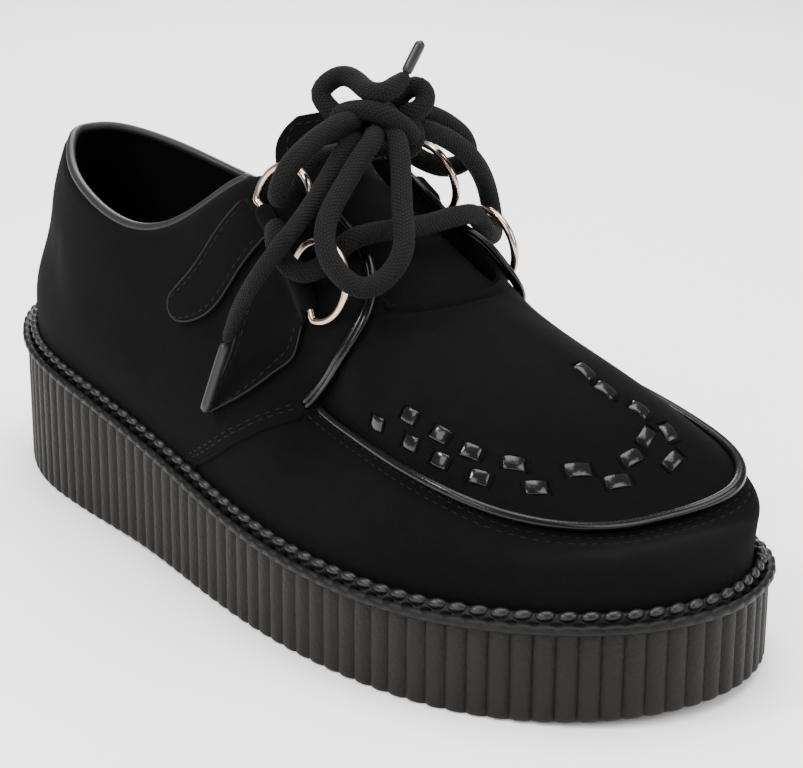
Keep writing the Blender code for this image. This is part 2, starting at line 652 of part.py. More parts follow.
def make_tab(name, tab, medial, collection):
    """Lace tab on the wall, joined to the sleeve that its ring's bar runs through."""
    centre, reach, bar = ring_frame(tab, medial)
    axis = centre - reach * RING_FLAT
    edges = []
    for key in ("back", "front"):
        places = np.array([(LAST.find(x, t, medial), t) for x, t in tab[key]])
        knots = np.linspace(0, 1, len(places))
        edges.append(spline(knots, places, np.linspace(0, 1, TAB_ROWS)))
    share = np.linspace(0, 1, TAB_COLUMNS)[:, None]
    rows = []
    for back, front in zip(*edges):
        places = back + (front - back) * share
        if np.ptp(places[:, 1]) + np.ptp(places[:, 0]) < 1e-6:
            places = back + (edges[1][1] - edges[0][1]) * TAB_TIP_SHARE * share
        rows.append(face_bead(places[:, 0], places[:, 1], TAB_LIFT))
    hold = SLEEVE_BORE + SLEEVE_WALL * TAB_SINK
    span = np.linspace(-1, 1, TAB_COLUMNS)[:, None] * (SLEEVE_LENGTH / 2 - TAB_END_INSET)
    normal = np.cross(bar, reach)
    normal = normal * (1.0 if (normal[1] > 0) == medial else -1.0)
    rows.append(axis + bar * span - reach * hold + normal * TAB_THICKNESS * -0.5)
    mesh, _ = skin(rows, around=False)
    bmesh.ops.recalc_face_normals(mesh, faces=mesh.faces)
    if sum(face.normal.y for face in mesh.faces) * (1 if medial else -1) < 0:
        bmesh.ops.reverse_faces(mesh, faces=mesh.faces)
    piece = add_object(name, finish_mesh(name, mesh, 50.0), "suede", collection)
    wall = piece.modifiers.new("thickness", "SOLIDIFY")
    wall.thickness = TAB_THICKNESS * MM
    wall.offset = 1.0
    sleeve = make_sleeve(name + "_sleeve", axis, bar, reach)
    join = piece.modifiers.new("sleeve", "BOOLEAN")
    join.operation = "UNION"
    join.object = sleeve
    weld = piece.modifiers.new("weld", "WELD")
    weld.merge_threshold = WELD_GAP * MM
    return piece, sleeve


def make_sleeve(name, axis, bar, reach):
    """Short round sleeve about the ring's bar, as a cutter-side helper."""
    third = np.cross(bar, reach)
    loops = []
    for radius, along in (
        (SLEEVE_BORE, -0.5), (SLEEVE_BORE + SLEEVE_WALL, -0.5),
        (SLEEVE_BORE + SLEEVE_WALL, 0.5), (SLEEVE_BORE, 0.5),
    ):
        turn = (np.arange(SLEEVE_SIDES) + 0.5) * 2 * math.pi / SLEEVE_SIDES
        middle = axis + bar * SLEEVE_LENGTH * along
        loops.append([middle + radius * (reach * math.cos(a) + third * math.sin(a)) for a in turn])
    mesh, _ = skin(loops, over=True)
    bmesh.ops.recalc_face_normals(mesh, faces=mesh.faces)
    return bpy.data.objects.new(name, finish_mesh(name, mesh))


def make_knot(collection):
    """Lumpy knot of the bow, a turned oval leaning towards the toe."""
    mesh = bmesh.new()
    bmesh.ops.create_uvsphere(mesh, u_segments=14, v_segments=8, radius=1.0)
    for vert in mesh.verts:
        turn = math.atan2(vert.co.y, vert.co.x)
        swell = 1.0 + KNOT_LUMPS * math.cos(3 * turn) * (1 - vert.co.z ** 2)
        vert.co = Vector([c * size * MM for c, size in zip(vert.co * swell, KNOT_SIZE)])
    lean = Matrix.Rotation(math.radians(KNOT_LEAN), 4, "Y")
    mesh.transform(Matrix.Translation(Vector(KNOT_CENTRE) * MM) @ lean)
    return add_object("lace_knot", finish_mesh("lace_knot", mesh, 80.0), "lace", collection)


def both_sides(near, far):
    """A route from the lateral side to the medial one, from the two halves listed from the middle out."""
    lateral = [mirrored(point, False) for point in near]
    return lateral[::-1] + [mirrored(point, True) for point in far]


def make_laces(collection):
    """Joined crossings, then the knot, its loops and the two ends with their tips."""
    radius = LACE_DIAMETER / 2
    bar = both_sides(LACE_BAR_NEAR, LACE_BAR_FAR)
    top = both_sides(LACE_TOP_HALF[1:], LACE_TOP_HALF)
    tube("lace_bar", route(bar, LACE_STEP), radius, "lace", collection)
    tube("lace_top", route(top, LACE_STEP), radius, "lace", collection)
    make_knot(collection)
    for name, points in CORDS.items():
        tube(name, route(points, CORD_STEP), radius, "lace", collection)
    for name, points in AGLETS.items():
        tube(name, np.array(points), AGLET_RADIUS, "aglet", collection)


def main():
    clear_scene()
    parts = new_collection("creeper_shoe")
    helpers = new_collection("helpers")
    make_outsole(parts)
    make_welt(parts)
    make_insole(parts)
    make_upper(parts)
    make_tongue(parts)
    make_piping(parts)
    for height, tab in TABS.items():
        for side, medial in (("lateral", False), ("medial", True)):
            _, sleeve = make_tab(f"tab_{height}_{side}", tab, medial, parts)
            helpers.objects.link(sleeve)
            sleeve.hide_render = True
            sleeve.display_type = "WIRE"
            make_ring(f"ring_{height}_{side}", tab, medial, parts)
    make_laces(parts)


main()
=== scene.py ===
"""A creeper shoe for the right foot in black suede, dressed over its solids: nap, seams, woven strips, laces and sole.

The shoe stands on z = 0 with its toe along +X, and the inner side of the foot is +Y. The tables are in
millimetres, and MM turns them into metres when a mesh is made.
"""

import math

import bmesh
import bpy
import numpy as np
from mathutils import Matrix, Vector


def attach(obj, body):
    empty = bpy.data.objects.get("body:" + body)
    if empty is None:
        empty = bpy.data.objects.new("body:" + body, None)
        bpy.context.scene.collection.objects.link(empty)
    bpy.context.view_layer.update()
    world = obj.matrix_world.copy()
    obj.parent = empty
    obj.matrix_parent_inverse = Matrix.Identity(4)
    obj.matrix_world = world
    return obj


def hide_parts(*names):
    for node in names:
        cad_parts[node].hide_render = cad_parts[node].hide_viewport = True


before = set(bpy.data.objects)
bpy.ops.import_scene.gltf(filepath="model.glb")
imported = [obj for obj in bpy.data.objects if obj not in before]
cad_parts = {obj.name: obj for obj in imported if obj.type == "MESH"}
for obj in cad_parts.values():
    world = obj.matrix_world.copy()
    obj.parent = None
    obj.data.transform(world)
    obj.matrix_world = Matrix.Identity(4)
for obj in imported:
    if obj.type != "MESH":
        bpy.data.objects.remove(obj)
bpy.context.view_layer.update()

MM = 0.001

# Sizes that the solids share
SOLE_LENGTH = 290.0
RIB_PITCH = 5.6
RIB_DEPTH = 1.1
TOE_SPRING = 3.0
SPRING_START = 98.0
ARCH_RISE = 3.0
EDGE_CHAMFER = 1.0
ARCH_MIDDLE = -32.0
ARCH_HALF_LENGTH = 42.0
ARCH_OUTER_SHARE = 0.2
UPPER_WALL = 2.2
UPPER_INSET = 4.3
SEAT_GAP = 0.3
BEAD_GAP = 0.5
CENTRE_Y = 0.6
PIPING_RADIUS = 1.3
RING_RADIUS = 10.5
RING_WIRE = 1.1
LACE_DIAMETER = 5.6

# Ends and corners of the piping: x, and the share of the wall's height
COLLAR_CORNER = (-3.0, 1.0)
CORNER_GAP = 0.006
APRON_END = 35.5
FACING_TOP = (-1.5, 3.0, 10.0, 18.0, 27.0, 34.0)
FACING_CORNER = 39.5
FACING_FALL = ((44.2, 0.970), (46.0, 0.91), (46.0, 0.82), (43.4, 0.715), (40.2, 0.65), (36.6, 0.59))

# Foot of the facing's bead, past the end of its solid
FACING_FOOT = ((33.5, 0.520), (31.0, 0.458))

# How many times the route of the facing's bead is averaged with its neighbours
BEAD_SMOOTHING = 14

# How the apron's bead swells towards the toe: share of its length, and share of its thickness
APRON_SWELL = ((0.0, 0.3, 0.5, 0.62, 0.74, 1.0), (0.88, 0.95, 1.1, 1.2, 1.0, 0.88))

# Edge of the quarter from the welt up to the throat: x and the share of the wall's height
QUARTER_EDGE = (
    (-6.0, 0.0), (-3.0, 0.075), (9.5, 0.180), (19.0, 0.270), (26.0, 0.350), (31.0, 0.425), (33.0, 0.56),
    (36.5, 0.62), (40.5, 0.70), (42.8, 0.80), (43.6, 0.90), (42.8, 0.985),
)
QUARTER_LIFT = 0.8

# Middles of the woven strips that show on the apron, each row from the lateral side round the toe: place
# round the shoe and share of the wall's height
STRIP_ROWS = {
    "outer": (
        (0.3445, 0.595), (0.3690, 0.590), (0.3890, 0.583), (0.4125, 0.583), (0.4420, 0.593), (0.4985, 0.600),
        (0.5410, 0.605), (0.5535, 0.645), (0.5505, 0.695), (0.5415, 0.745), (0.5430, 0.787),
    ),
    "inner": (
        (0.3725, 0.665), (0.3945, 0.650), (0.4130, 0.637), (0.4360, 0.635), (0.4735, 0.630), (0.5195, 0.632),
        (0.5380, 0.655),
    ),
}

# Outline of the sole, a row for each section from heel to toe: x, lateral y, medial y
SOLE_SECTIONS = (
    (-137.0, -12.0, 15.0),
    (-124.0, -23.0, 27.5),
    (-102.0, -33.8, 36.6),
    (-74.0, -39.4, 38.6),
    (-44.0, -42.8, 37.0),
    (-14.0, -47.2, 37.8),
    (16.0, -52.4, 43.5),
    (44.0, -55.6, 51.4),
    (72.0, -55.4, 55.4),
    (96.0, -51.0, 53.2),
    (116.0, -41.8, 46.4),
    (131.0, -30.0, 36.4),
    (140.5, -16.5, 22.5),
)
HEEL_TIP = (-144.0, 1.0)
TOE_TIP = (145.0, 4.5)

# Height of the ribbed wedge at its edge
WEDGE_COLUMNS = ("x", "height")
WEDGE_HEIGHTS = (
    (-150.0, 43.6),
    (-83.5, 37.8),
    (-23.5, 30.8),
    (36.5, 24.2),
    (96.5, 22.9),
    (150.0, 25.4),
)

# Section of the welt strip: distance out from the sole's edge, height over the wedge
WELT_PROFILE = (
    (-15.0, 0.3),
    (0.9, 0.3),
    (1.6, 1.1),
    (1.4, 2.4),
    (0.3, 3.0),
    (-0.9, 1.9),
    (-1.7, 2.0),
    (-1.9, 3.9),
    (-2.9, 4.7),
    (-3.8, 4.0),
    (-3.9, 2.3),
    (-15.0, 2.3),
)
SEAT_HEIGHT = 2.3

# Sections of the last, from the heel's middle to the toe. station is the x on the sole's outline that a
# section starts from. shoulder is its point half way up, which is the apron's seam in the forefoot, and
# top is its point on the edge of the collar, the facing or the throat.
LAST_COLUMNS = (
    "station", "shoulder_x", "shoulder_y", "shoulder_z", "top_x", "top_y", "top_z", "bulge", "crown",
)
LATERAL_SECTIONS = (
    (-145.0, -134.5, 0.6, 74.0, -119.5, 0.6, 106.0, 2.0, 1.0),
    (-137.0, -127.8, -9.5, 73.5, -118.3, -5.6, 105.6, 2.0, 1.0),
    (-124.0, -116.0, -17.8, 72.0, -112.8, -12.0, 103.8, 2.0, 1.0),
    (-102.0, -99.0, -26.5, 69.0, -99.3, -20.8, 98.8, 1.5, 1.0),
    (-74.0, -76.5, -34.5, 65.5, -78.5, -28.0, 93.5, 1.5, 1.0),
    (-44.0, -48.0, -37.5, 64.0, -53.5, -31.0, 90.0, 1.8, 1.0),
    (-14.0, -18.0, -37.0, 66.5, -27.5, -27.0, 98.0, 2.2, 1.5),
    (8.0, 4.0, -35.0, 67.0, -3.0, -21.5, 112.0, 3.0, 2.0),
    (27.0, 23.0, -32.5, 62.0, 18.0, -18.2, 105.8, 4.0, 3.0),
    (44.0, 39.0, -32.8, 56.6, 37.0, -19.2, 95.2, 4.5, 4.0),
    (60.0, 53.0, -35.0, 54.8, 45.5, -20.5, 87.3, 4.8, 4.5),
    (78.0, 69.0, -36.8, 52.8, 49.5, -16.5, 86.0, 5.0, 5.0),
    (98.0, 86.0, -36.4, 50.2, 51.0, -12.0, 85.6, 5.2, 5.5),
    (117.0, 100.8, -30.2, 46.0, 51.8, -8.0, 85.4, 5.5, 5.6),
    (131.0, 110.4, -18.8, 42.6, 52.2, -5.0, 85.4, 6.0, 5.3),
    (140.5, 115.5, -7.2, 40.8, 52.4, -2.0, 85.4, 6.2, 5.0),
)
MEDIAL_SECTIONS = (
    (145.0, 118.2, 6.0, 40.2, 52.5, 1.0, 85.4, 6.2, 4.6),
    (140.5, 120.6, 18.7, 40.9, 52.4, 4.0, 85.4, 6.0, 4.2),
    (131.0, 122.2, 30.8, 43.8, 52.2, 7.0, 85.4, 4.5, 3.4),
    (117.0, 115.6, 38.9, 47.8, 51.8, 10.0, 85.4, 4.0, 2.2),
    (98.0, 99.5, 41.8, 52.6, 51.0, 13.5, 85.6, 2.8, 1.2),
    (78.0, 80.0, 41.4, 57.2, 49.5, 17.5, 86.0, 1.5, 0.8),
    (60.0, 62.0, 39.6, 60.6, 45.5, 21.7, 87.3, 1.0, 0.6),
    (44.0, 45.0, 37.4, 63.2, 37.0, 20.4, 95.2, 1.0, 1.0),
    (27.0, 25.0, 36.0, 66.0, 18.0, 19.4, 105.8, 1.2, 1.5),
    (8.0, 5.0, 35.5, 68.0, -3.0, 22.7, 112.0, 2.0, 2.0),
    (-14.0, -18.0, 35.6, 67.0, -27.5, 28.2, 98.0, 1.8, 1.5),
    (-44.0, -48.0, 36.4, 64.5, -53.5, 32.2, 90.0, 1.8, 1.0),
    (-74.0, -76.5, 35.4, 65.5, -78.5, 29.2, 93.5, 1.5, 1.0),
    (-102.0, -99.0, 27.7, 69.0, -99.3, 22.0, 99.8, 1.5, 1.0),
    (-124.0, -116.0, 19.0, 72.0, -112.8, 13.2, 104.2, 2.0, 1.0),
    (-137.0, -127.8, 10.7, 73.5, -118.3, 6.8, 105.6, 2.0, 1.0),
)

# Tongue, a row for each section from its hidden front end to its rounded top: x, z, half width, drop at the edges
TONGUE_SECTIONS = (
    (59.0, 76.6, 11.0, 3.4),
    (52.0, 80.4, 14.0, 5.0),
    (45.0, 86.0, 15.5, 7.0),
    (36.0, 93.4, 16.4, 8.0),
    (26.0, 99.8, 16.6, 8.0),
    (15.0, 105.8, 16.6, 7.6),
    (7.0, 111.0, 16.6, 7.0),
    (0.5, 117.0, 16.0, 5.8),
    (-3.0, 122.8, 13.0, 3.4),
    (-4.6, 126.6, 7.0, 1.2),
)
TONGUE_THICKNESS = 2.0
TONGUE_ARCH = 2.2

# Lace tabs, as the two edges of each from its pointed end to its wide end: x and share of the wall's height
TAB_THICKNESS = 1.2
TAB_LIFT = 0.45
TAB_TIP_SHARE = 0.2
TABS = {
    "upper": {
        "back": ((-24.0, 0.60), (-24.5, 0.68), (-17.2, 0.758), (-11.0, 0.85), (-4.5, 0.93)),
        "front": ((-24.0, 0.60), (-18.5, 0.56), (-8.0, 0.60), (0.0, 0.72), (7.6, 0.86)),
        "ring": (12.0, 26.6, 107.2),
        "reach": (0.61, -0.24, 0.76),
        "bar": (0.74, 0.15, -0.66),
    },
    "lower": {
        "back": ((3.3, 0.275), (3.0, 0.42), (4.0, 0.58), (6.0, 0.70), (10.0, 0.82)),
        "front": ((3.3, 0.275), (12.4, 0.375), (18.9, 0.50), (24.5, 0.60), (27.0, 0.72)),
        "ring": (31.8, 30.6, 90.8),
        "reach": (0.78, -0.12, 0.61),
        "bar": (0.68, 0.09, -0.725),
    },
}
RING_FLAT = 6.6
SLEEVE_LENGTH = 11.0
SLEEVE_BORE = 1.5
SLEEVE_WALL = 1.0
TAB_END_INSET = 0.5
TAB_SINK = 0.42
WELD_GAP = 0.02

# Laces as listed routes. In a half route y is measured outwards from the middle of the shoe.
LACE_BAR_FAR = (
    (37.0, 0.0, 101.9), (36.8, 10.0, 102.3), (36.0, 17.5, 102.2), (34.8, 21.8, 101.2), (33.4, 26.0, 98.0),
    (31.6, 30.2, 94.4), (29.0, 34.6, 92.8), (26.2, 37.6, 95.0), (24.4, 38.2, 100.0), (24.4, 36.2, 106.0),
    (25.6, 31.6, 112.0), (26.5, 25.5, 117.4), (26.6, 18.6, 121.6), (26.0, 11.4, 124.6),
)
LACE_BAR_NEAR = (
    (36.8, 10.0, 102.3), (36.0, 17.5, 102.2), (34.8, 21.8, 101.2), (33.4, 26.0, 98.0), (31.6, 30.2, 94.4),
    (28.8, 34.4, 93.4), (25.4, 36.8, 96.0), (22.0, 36.8, 99.8), (18.8, 34.6, 102.4), (16.2, 31.6, 103.4),
)
LACE_TOP_HALF = (
    (8.0, 0.0, 117.6), (8.6, 9.0, 117.5), (10.2, 16.0, 117.2), (11.2, 19.4, 115.2), (14.2, 25.6, 111.4),
    (16.0, 30.4, 110.4), (18.8, 33.4, 112.4), (20.2, 32.4, 117.4), (20.6, 27.6, 122.2), (20.6, 21.0, 126.0),
    (20.4, 15.4, 128.0), (20.2, 12.4, 128.6),
)
KNOT_CENTRE = (20.0, 0.6, 127.0)
KNOT_SIZE = (7.2, 10.0, 5.8)
KNOT_LEAN = 20.0
CORDS = {
    "lace_loop_front": (
        (28.0, -8.4, 124.6), (30.2, -14.8, 120.6), (32.0, -21.0, 115.6), (34.6, -28.6, 109.3),
        (38.6, -33.6, 103.3), (44.8, -34.5, 96.7), (50.0, -30.6, 92.9), (52.1, -23.7, 95.6),
        (50.8, -17.8, 101.1), (45.4, -13.0, 107.3), (38.6, -7.6, 114.9), (33.2, -3.4, 121.0), (29.4, -1.4, 124.6),
    ),
    "lace_end_short": (
        (11.4, -6.6, 129.0), (8.5, -7.6, 131.0), (6.3, -7.9, 134.0), (7.0, -5.6, 137.1), (9.9, -3.1, 138.8),
        (14.2, -2.3, 138.0), (18.5, -3.0, 136.6), (22.1, -3.2, 136.0), (24.8, -1.6, 136.2), (25.2, 0.9, 137.0),
        (25.0, 3.2, 138.0), (25.0, 5.0, 139.2), (24.8, 6.5, 140.9),
    ),
    "lace_end_long": (
        (22.2, -12.2, 122.4), (23.4, -16.6, 119.4), (25.2, -21.6, 115.6), (27.2, -28.6, 110.2),
        (29.0, -36.9, 104.4), (27.1, -42.9, 97.4), (21.1, -44.4, 89.2), (13.6, -43.6, 79.6), (8.5, -43.0, 71.4),
    ),
}
AGLET_RADIUS = 1.5

# Turns round the knot's middle: shift across, half width, half height, slant
KNOT_TURNS = ((-2.8, 4.4, 3.2, 0.6), (2.9, 4.2, 3.1, -0.6))

# Strands laid over the knot
KNOT_STRANDS = {
    "wrap": (
        (10.9, -6.9, 125.3), (13.3, -7.1, 128.9), (18.1, -7.0, 130.9), (23.0, -5.6, 131.6), (26.4, -3.3, 130.8),
        (28.2, -0.1, 128.6), (28.3, 3.9, 125.6), (26.2, 7.6, 122.3),
    ),
    "lobe": (
        (22.8, 4.8, 128.3), (26.3, 7.8, 130.0), (26.8, 11.0, 132.2), (25.3, 12.2, 134.8), (22.7, 11.7, 136.0),
        (20.1, 9.1, 134.0), (19.0, 5.5, 130.0),
    ),
    "low": (
        (24.2, 4.0, 129.2), (26.2, 6.5, 126.5), (27.1, 7.5, 123.6), (26.1, 6.6, 120.6), (23.5, 4.6, 119.2),
    ),
}
AGLETS = {
    "aglet_long": ((7.9, -43.1, 70.0), (4.9, -48.0, 52.2)),
    "aglet_short": ((24.8, 6.8, 141.4), (25.3, 11.4, 148.6)),
}

def column(rows, names, name):
    """One named column of a table."""
    return np.array([row[names.index(name)] for row in rows])


def spline(knots, values, at):
    """Natural cubic spline through values at knots, read at the places given."""
    knots = np.asarray(knots, float)
    values = np.asarray(values, float)
    at = np.asarray(at, float)
    flat = values.reshape(len(knots), -1)
    step = np.diff(knots)
    slope = np.diff(flat, axis=0) / step[:, None]
    matrix = np.eye(len(knots))
    right = np.zeros_like(flat)
    for i in range(1, len(knots) - 1):
        matrix[i, i - 1:i + 2] = step[i - 1], 2 * (step[i - 1] + step[i]), step[i]
        right[i] = 3 * (slope[i] - slope[i - 1])
    curve = np.linalg.solve(matrix, right)
    k = np.clip(np.searchsorted(knots, at.ravel(), side="right") - 1, 0, len(knots) - 2)
    h = step[k, None]
    u = (at.ravel() - knots[k])[:, None]
    linear = slope[k] - h * (2 * curve[k] + curve[k + 1]) / 3
    read = flat[k] + u * (linear + u * (curve[k] + u * (curve[k + 1] - curve[k]) / (3 * h)))
    return read.reshape(at.shape + values.shape[1:])


def loop_spline(knots, values, at, period=1.0):
    """Smooth closed curve: the same spline over a list wrapped round at both ends."""
    wrap = 4
    knots = np.asarray(knots, float)
    values = np.asarray(values, float)
    long_knots = np.concatenate([knots[-wrap:] - period, knots, knots[:wrap] + period])
    long_values = np.concatenate([values[-wrap:], values, values[:wrap]])
    return spline(long_knots, long_values, np.mod(at, period))


def outline_points():
    """The sole's control points, from the heel's tip along the lateral side to the toe and back."""
    lateral = [(x, y) for x, y, _ in SOLE_SECTIONS]
    medial = [(x, y) for x, _, y in reversed(SOLE_SECTIONS)]
    return np.array([HEEL_TIP] + lateral + [TOE_TIP] + medial)


class Outline:
    """The sole's outline as a closed curve, read by arc length from 0 to 1."""

    def __init__(self):
        control = outline_points()
        closed = np.vstack([control, control[:1]])
        knots = np.concatenate([[0], np.cumsum(np.linalg.norm(np.diff(closed, axis=0), axis=1))])
        fine = np.linspace(0, knots[-1], 2401)
        points = loop_spline(knots[:-1], control, fine, knots[-1])
        arc = np.concatenate([[0], np.cumsum(np.linalg.norm(np.diff(points, axis=0), axis=1))])
        self.length = arc[-1]
        self.share = arc / arc[-1]
        self.points = points

    def at(self, s):
        s = np.mod(s, 1.0)
        return np.stack([np.interp(s, self.share, self.points[:, i]) for i in (0, 1)], -1)

    def normal(self, s, reach=0.004):
        along = self.at(s + reach) - self.at(s - reach)
        along /= np.linalg.norm(along, axis=-1, keepdims=True)
        return np.stack([along[..., 1], -along[..., 0]], -1)

    def place(self, x, medial=False):
        """Arc position of the outline's point at x on one side."""
        s = np.linspace(0.5, 1.0, 2001) if medial else np.linspace(0.0, 0.5, 2001)
        return s[np.argmin(abs(self.at(s)[:, 0] - x))]


OUTLINE = Outline()


def wedge_height(x):
    return spline(column(WEDGE_HEIGHTS, WEDGE_COLUMNS, "x"), column(WEDGE_HEIGHTS, WEDGE_COLUMNS, "height"), x)


def sole_offset(s, out, up):
    """Point beside the wedge's top edge: out from the sole's edge and up from the wedge's height."""
    plan = OUTLINE.at(s) + OUTLINE.normal(s) * np.asarray(out, float)[..., None]
    return np.concatenate([plan, (wedge_height(plan[..., 0]) + up)[..., None]], -1)


class Last:
    """The outer surface of the upper. s runs round the shoe and t from the welt to the top edge."""

    LEVELS = (0.0, 0.04, 0.26, 0.5, 0.72, 1.0)

    def __init__(self):
        rows = LATERAL_SECTIONS + MEDIAL_SECTIONS
        stations = column(rows, LAST_COLUMNS, "station")
        half = len(LATERAL_SECTIONS)
        self.keys = np.array([
            0.0 if i == 0 else OUTLINE.place(x, medial=i >= half) for i, x in enumerate(stations)
        ])
        self.shoulders = np.stack([column(rows, LAST_COLUMNS, "shoulder_" + a) for a in "xyz"], -1)
        self.tops = np.stack([column(rows, LAST_COLUMNS, "top_" + a) for a in "xyz"], -1)
        self.bulges = column(rows, LAST_COLUMNS, "bulge")
        self.crowns = column(rows, LAST_COLUMNS, "crown")

    def section(self, s):
        """Control points of the sections at s, one row for each level."""
        foot = sole_offset(s, -UPPER_INSET, SEAT_HEIGHT + SEAT_GAP)
        shoulder = loop_spline(self.keys, self.shoulders, s)
        top = loop_spline(self.keys, self.tops, s)
        bulge = loop_spline(self.keys, self.bulges, s)[:, None]
        crown = loop_spline(self.keys, self.crowns, s)[:, None]
        out = np.concatenate([OUTLINE.normal(s), np.zeros((len(s), 1))], -1)
        rise = foot + np.array([0.0, 0.0, 2.0])
        lower = foot + (shoulder - foot) * 0.5 + square_to(out, shoulder - foot) * bulge
        upward = out + np.array([0.0, 0.0, 0.6])
        upper = shoulder + (top - shoulder) * 0.42 + square_to(upward, top - shoulder) * crown
        return np.stack([foot, rise, lower, shoulder, upper, top])

    def at(self, s, t):
        """Points of the surface at matching lists of s and t."""
        s = np.atleast_1d(np.asarray(s, float))
        t = np.broadcast_to(np.asarray(t, float), s.shape)
        levels = self.section(s)
        return np.array([spline(self.LEVELS, levels[:, i], t[i:i + 1])[0] for i in range(len(s))])

    def grid(self, s, t):
        """Points of the surface on a grid: one row for each t, one column for each s."""
        return spline(self.LEVELS, self.section(np.asarray(s, float)), np.asarray(t, float))

    def frame(self, s, t, reach=0.004):
        """Unit vectors at places on the surface: out of the wall, and up it towards its top edge."""
        s = np.atleast_1d(np.asarray(s, float))
        t = np.broadcast_to(np.asarray(t, float), s.shape)
        around = self.at(s + reach, t) - self.at(s - reach, t)
        rise = self.at(s, t) - self.at(s, t - reach)
        out = np.cross(around, rise)
        out /= np.linalg.norm(out, axis=-1, keepdims=True)
        return out, rise / np.linalg.norm(rise, axis=-1, keepdims=True)

    def find(self, x, t, medial):
        """The s at which the surface has the given x at height share t, on one side."""
        s = np.linspace(0.5, 1.0, 501) if medial else np.linspace(0.0, 0.5, 501)
        return s[np.argmin(abs(self.grid(s, [t])[0][:, 0] - x))]


def square_to(direction, chord):
    """The part of direction that is square to chord, as a unit vector."""
    unit = chord / np.linalg.norm(chord, axis=-1, keepdims=True)
    rest = direction - (direction * unit).sum(-1, keepdims=True) * unit
    return rest / np.linalg.norm(rest, axis=-1, keepdims=True)


LAST = Last()


def route(points, step):
    """Evenly spaced points on the smooth curve through a list of points."""
    points = np.asarray(points, float)
    chords = np.linalg.norm(np.diff(points, axis=0), axis=1)
    knots = np.concatenate([[0], np.cumsum(chords)])
    fine = np.linspace(0, knots[-1], 60 * len(points))
    curve = spline(knots, points, fine)
    arc = np.concatenate([[0], np.cumsum(np.linalg.norm(np.diff(curve, axis=0), axis=1))])
    count = max(2, round(arc[-1] / step)) + 1
    at = np.linspace(0, arc[-1], count)
    return np.stack([np.interp(at, arc, curve[:, i]) for i in range(3)], -1)


def ground_height(x, y):
    """Height of the sole's underside: flat under heel and ball, raised at the arch and the toe."""
    toe = np.clip((x - SPRING_START) / (SOLE_LENGTH / 2 - SPRING_START), 0, 1)
    arch = np.clip(abs(x - ARCH_MIDDLE) / ARCH_HALF_LENGTH, 0, 1)
    inner = ARCH_OUTER_SHARE + (1 - ARCH_OUTER_SHARE) * np.clip((y + 45.0) / 85.0, 0, 1)
    return TOE_SPRING * toe ** 2 + ARCH_RISE * 0.5 * (1 + np.cos(math.pi * arch)) * inner


def mirrored(point, medial):
    """A point given by its distance out from the middle of the shoe, on the side asked for."""
    x, out, z = point
    return np.array([x, CENTRE_Y + (out if medial else -out), z])


def ring_frame(tab, medial):
    """Centre of a tab's ring, its direction away from the tab, and the direction of its straight bar."""
    centre = mirrored(tab["ring"], medial)
    turn = np.array([1.0, 1.0 if medial else -1.0, 1.0])
    reach = np.array(tab["reach"]) * turn
    bar = np.array(tab["bar"]) * turn
    reach = reach / np.linalg.norm(reach)
    bar = bar - reach * (bar @ reach)
    return centre, reach, bar / np.linalg.norm(bar)


def both_sides(near, far):
    """A route from the lateral side to the medial one, from the two halves listed from the middle out."""
    lateral = [mirrored(point, False) for point in near]
    return lateral[::-1] + [mirrored(point, True) for point in far]


# Camera at the photograph's angle

BACK = Vector((0.7103, -0.6357, 0.3024)).normalized()
CAMERA_PLACE = Vector((438.1, -364.7, 229.9)) * MM
CAMERA_TURN = math.radians(48.172)
CAMERA_ROLL = math.radians(0.321)


def add_camera():
    right = Vector((math.cos(CAMERA_TURN), math.sin(CAMERA_TURN), 0.0))
    up = BACK.cross(right)
    rolled_right = right * math.cos(CAMERA_ROLL) + up * math.sin(CAMERA_ROLL)
    rolled_up = BACK.cross(rolled_right)
    data = bpy.data.cameras.new("camera")
    data.sensor_width = 36.0
    data.lens = 93.86
    data.clip_start = 0.01
    camera = bpy.data.objects.new("camera", data)
    bpy.context.scene.collection.objects.link(camera)
    turn = Matrix((rolled_right, rolled_up, BACK)).transposed()
    camera.matrix_world = Matrix.Translation(CAMERA_PLACE) @ turn.to_4x4()
    bpy.context.scene.camera = camera


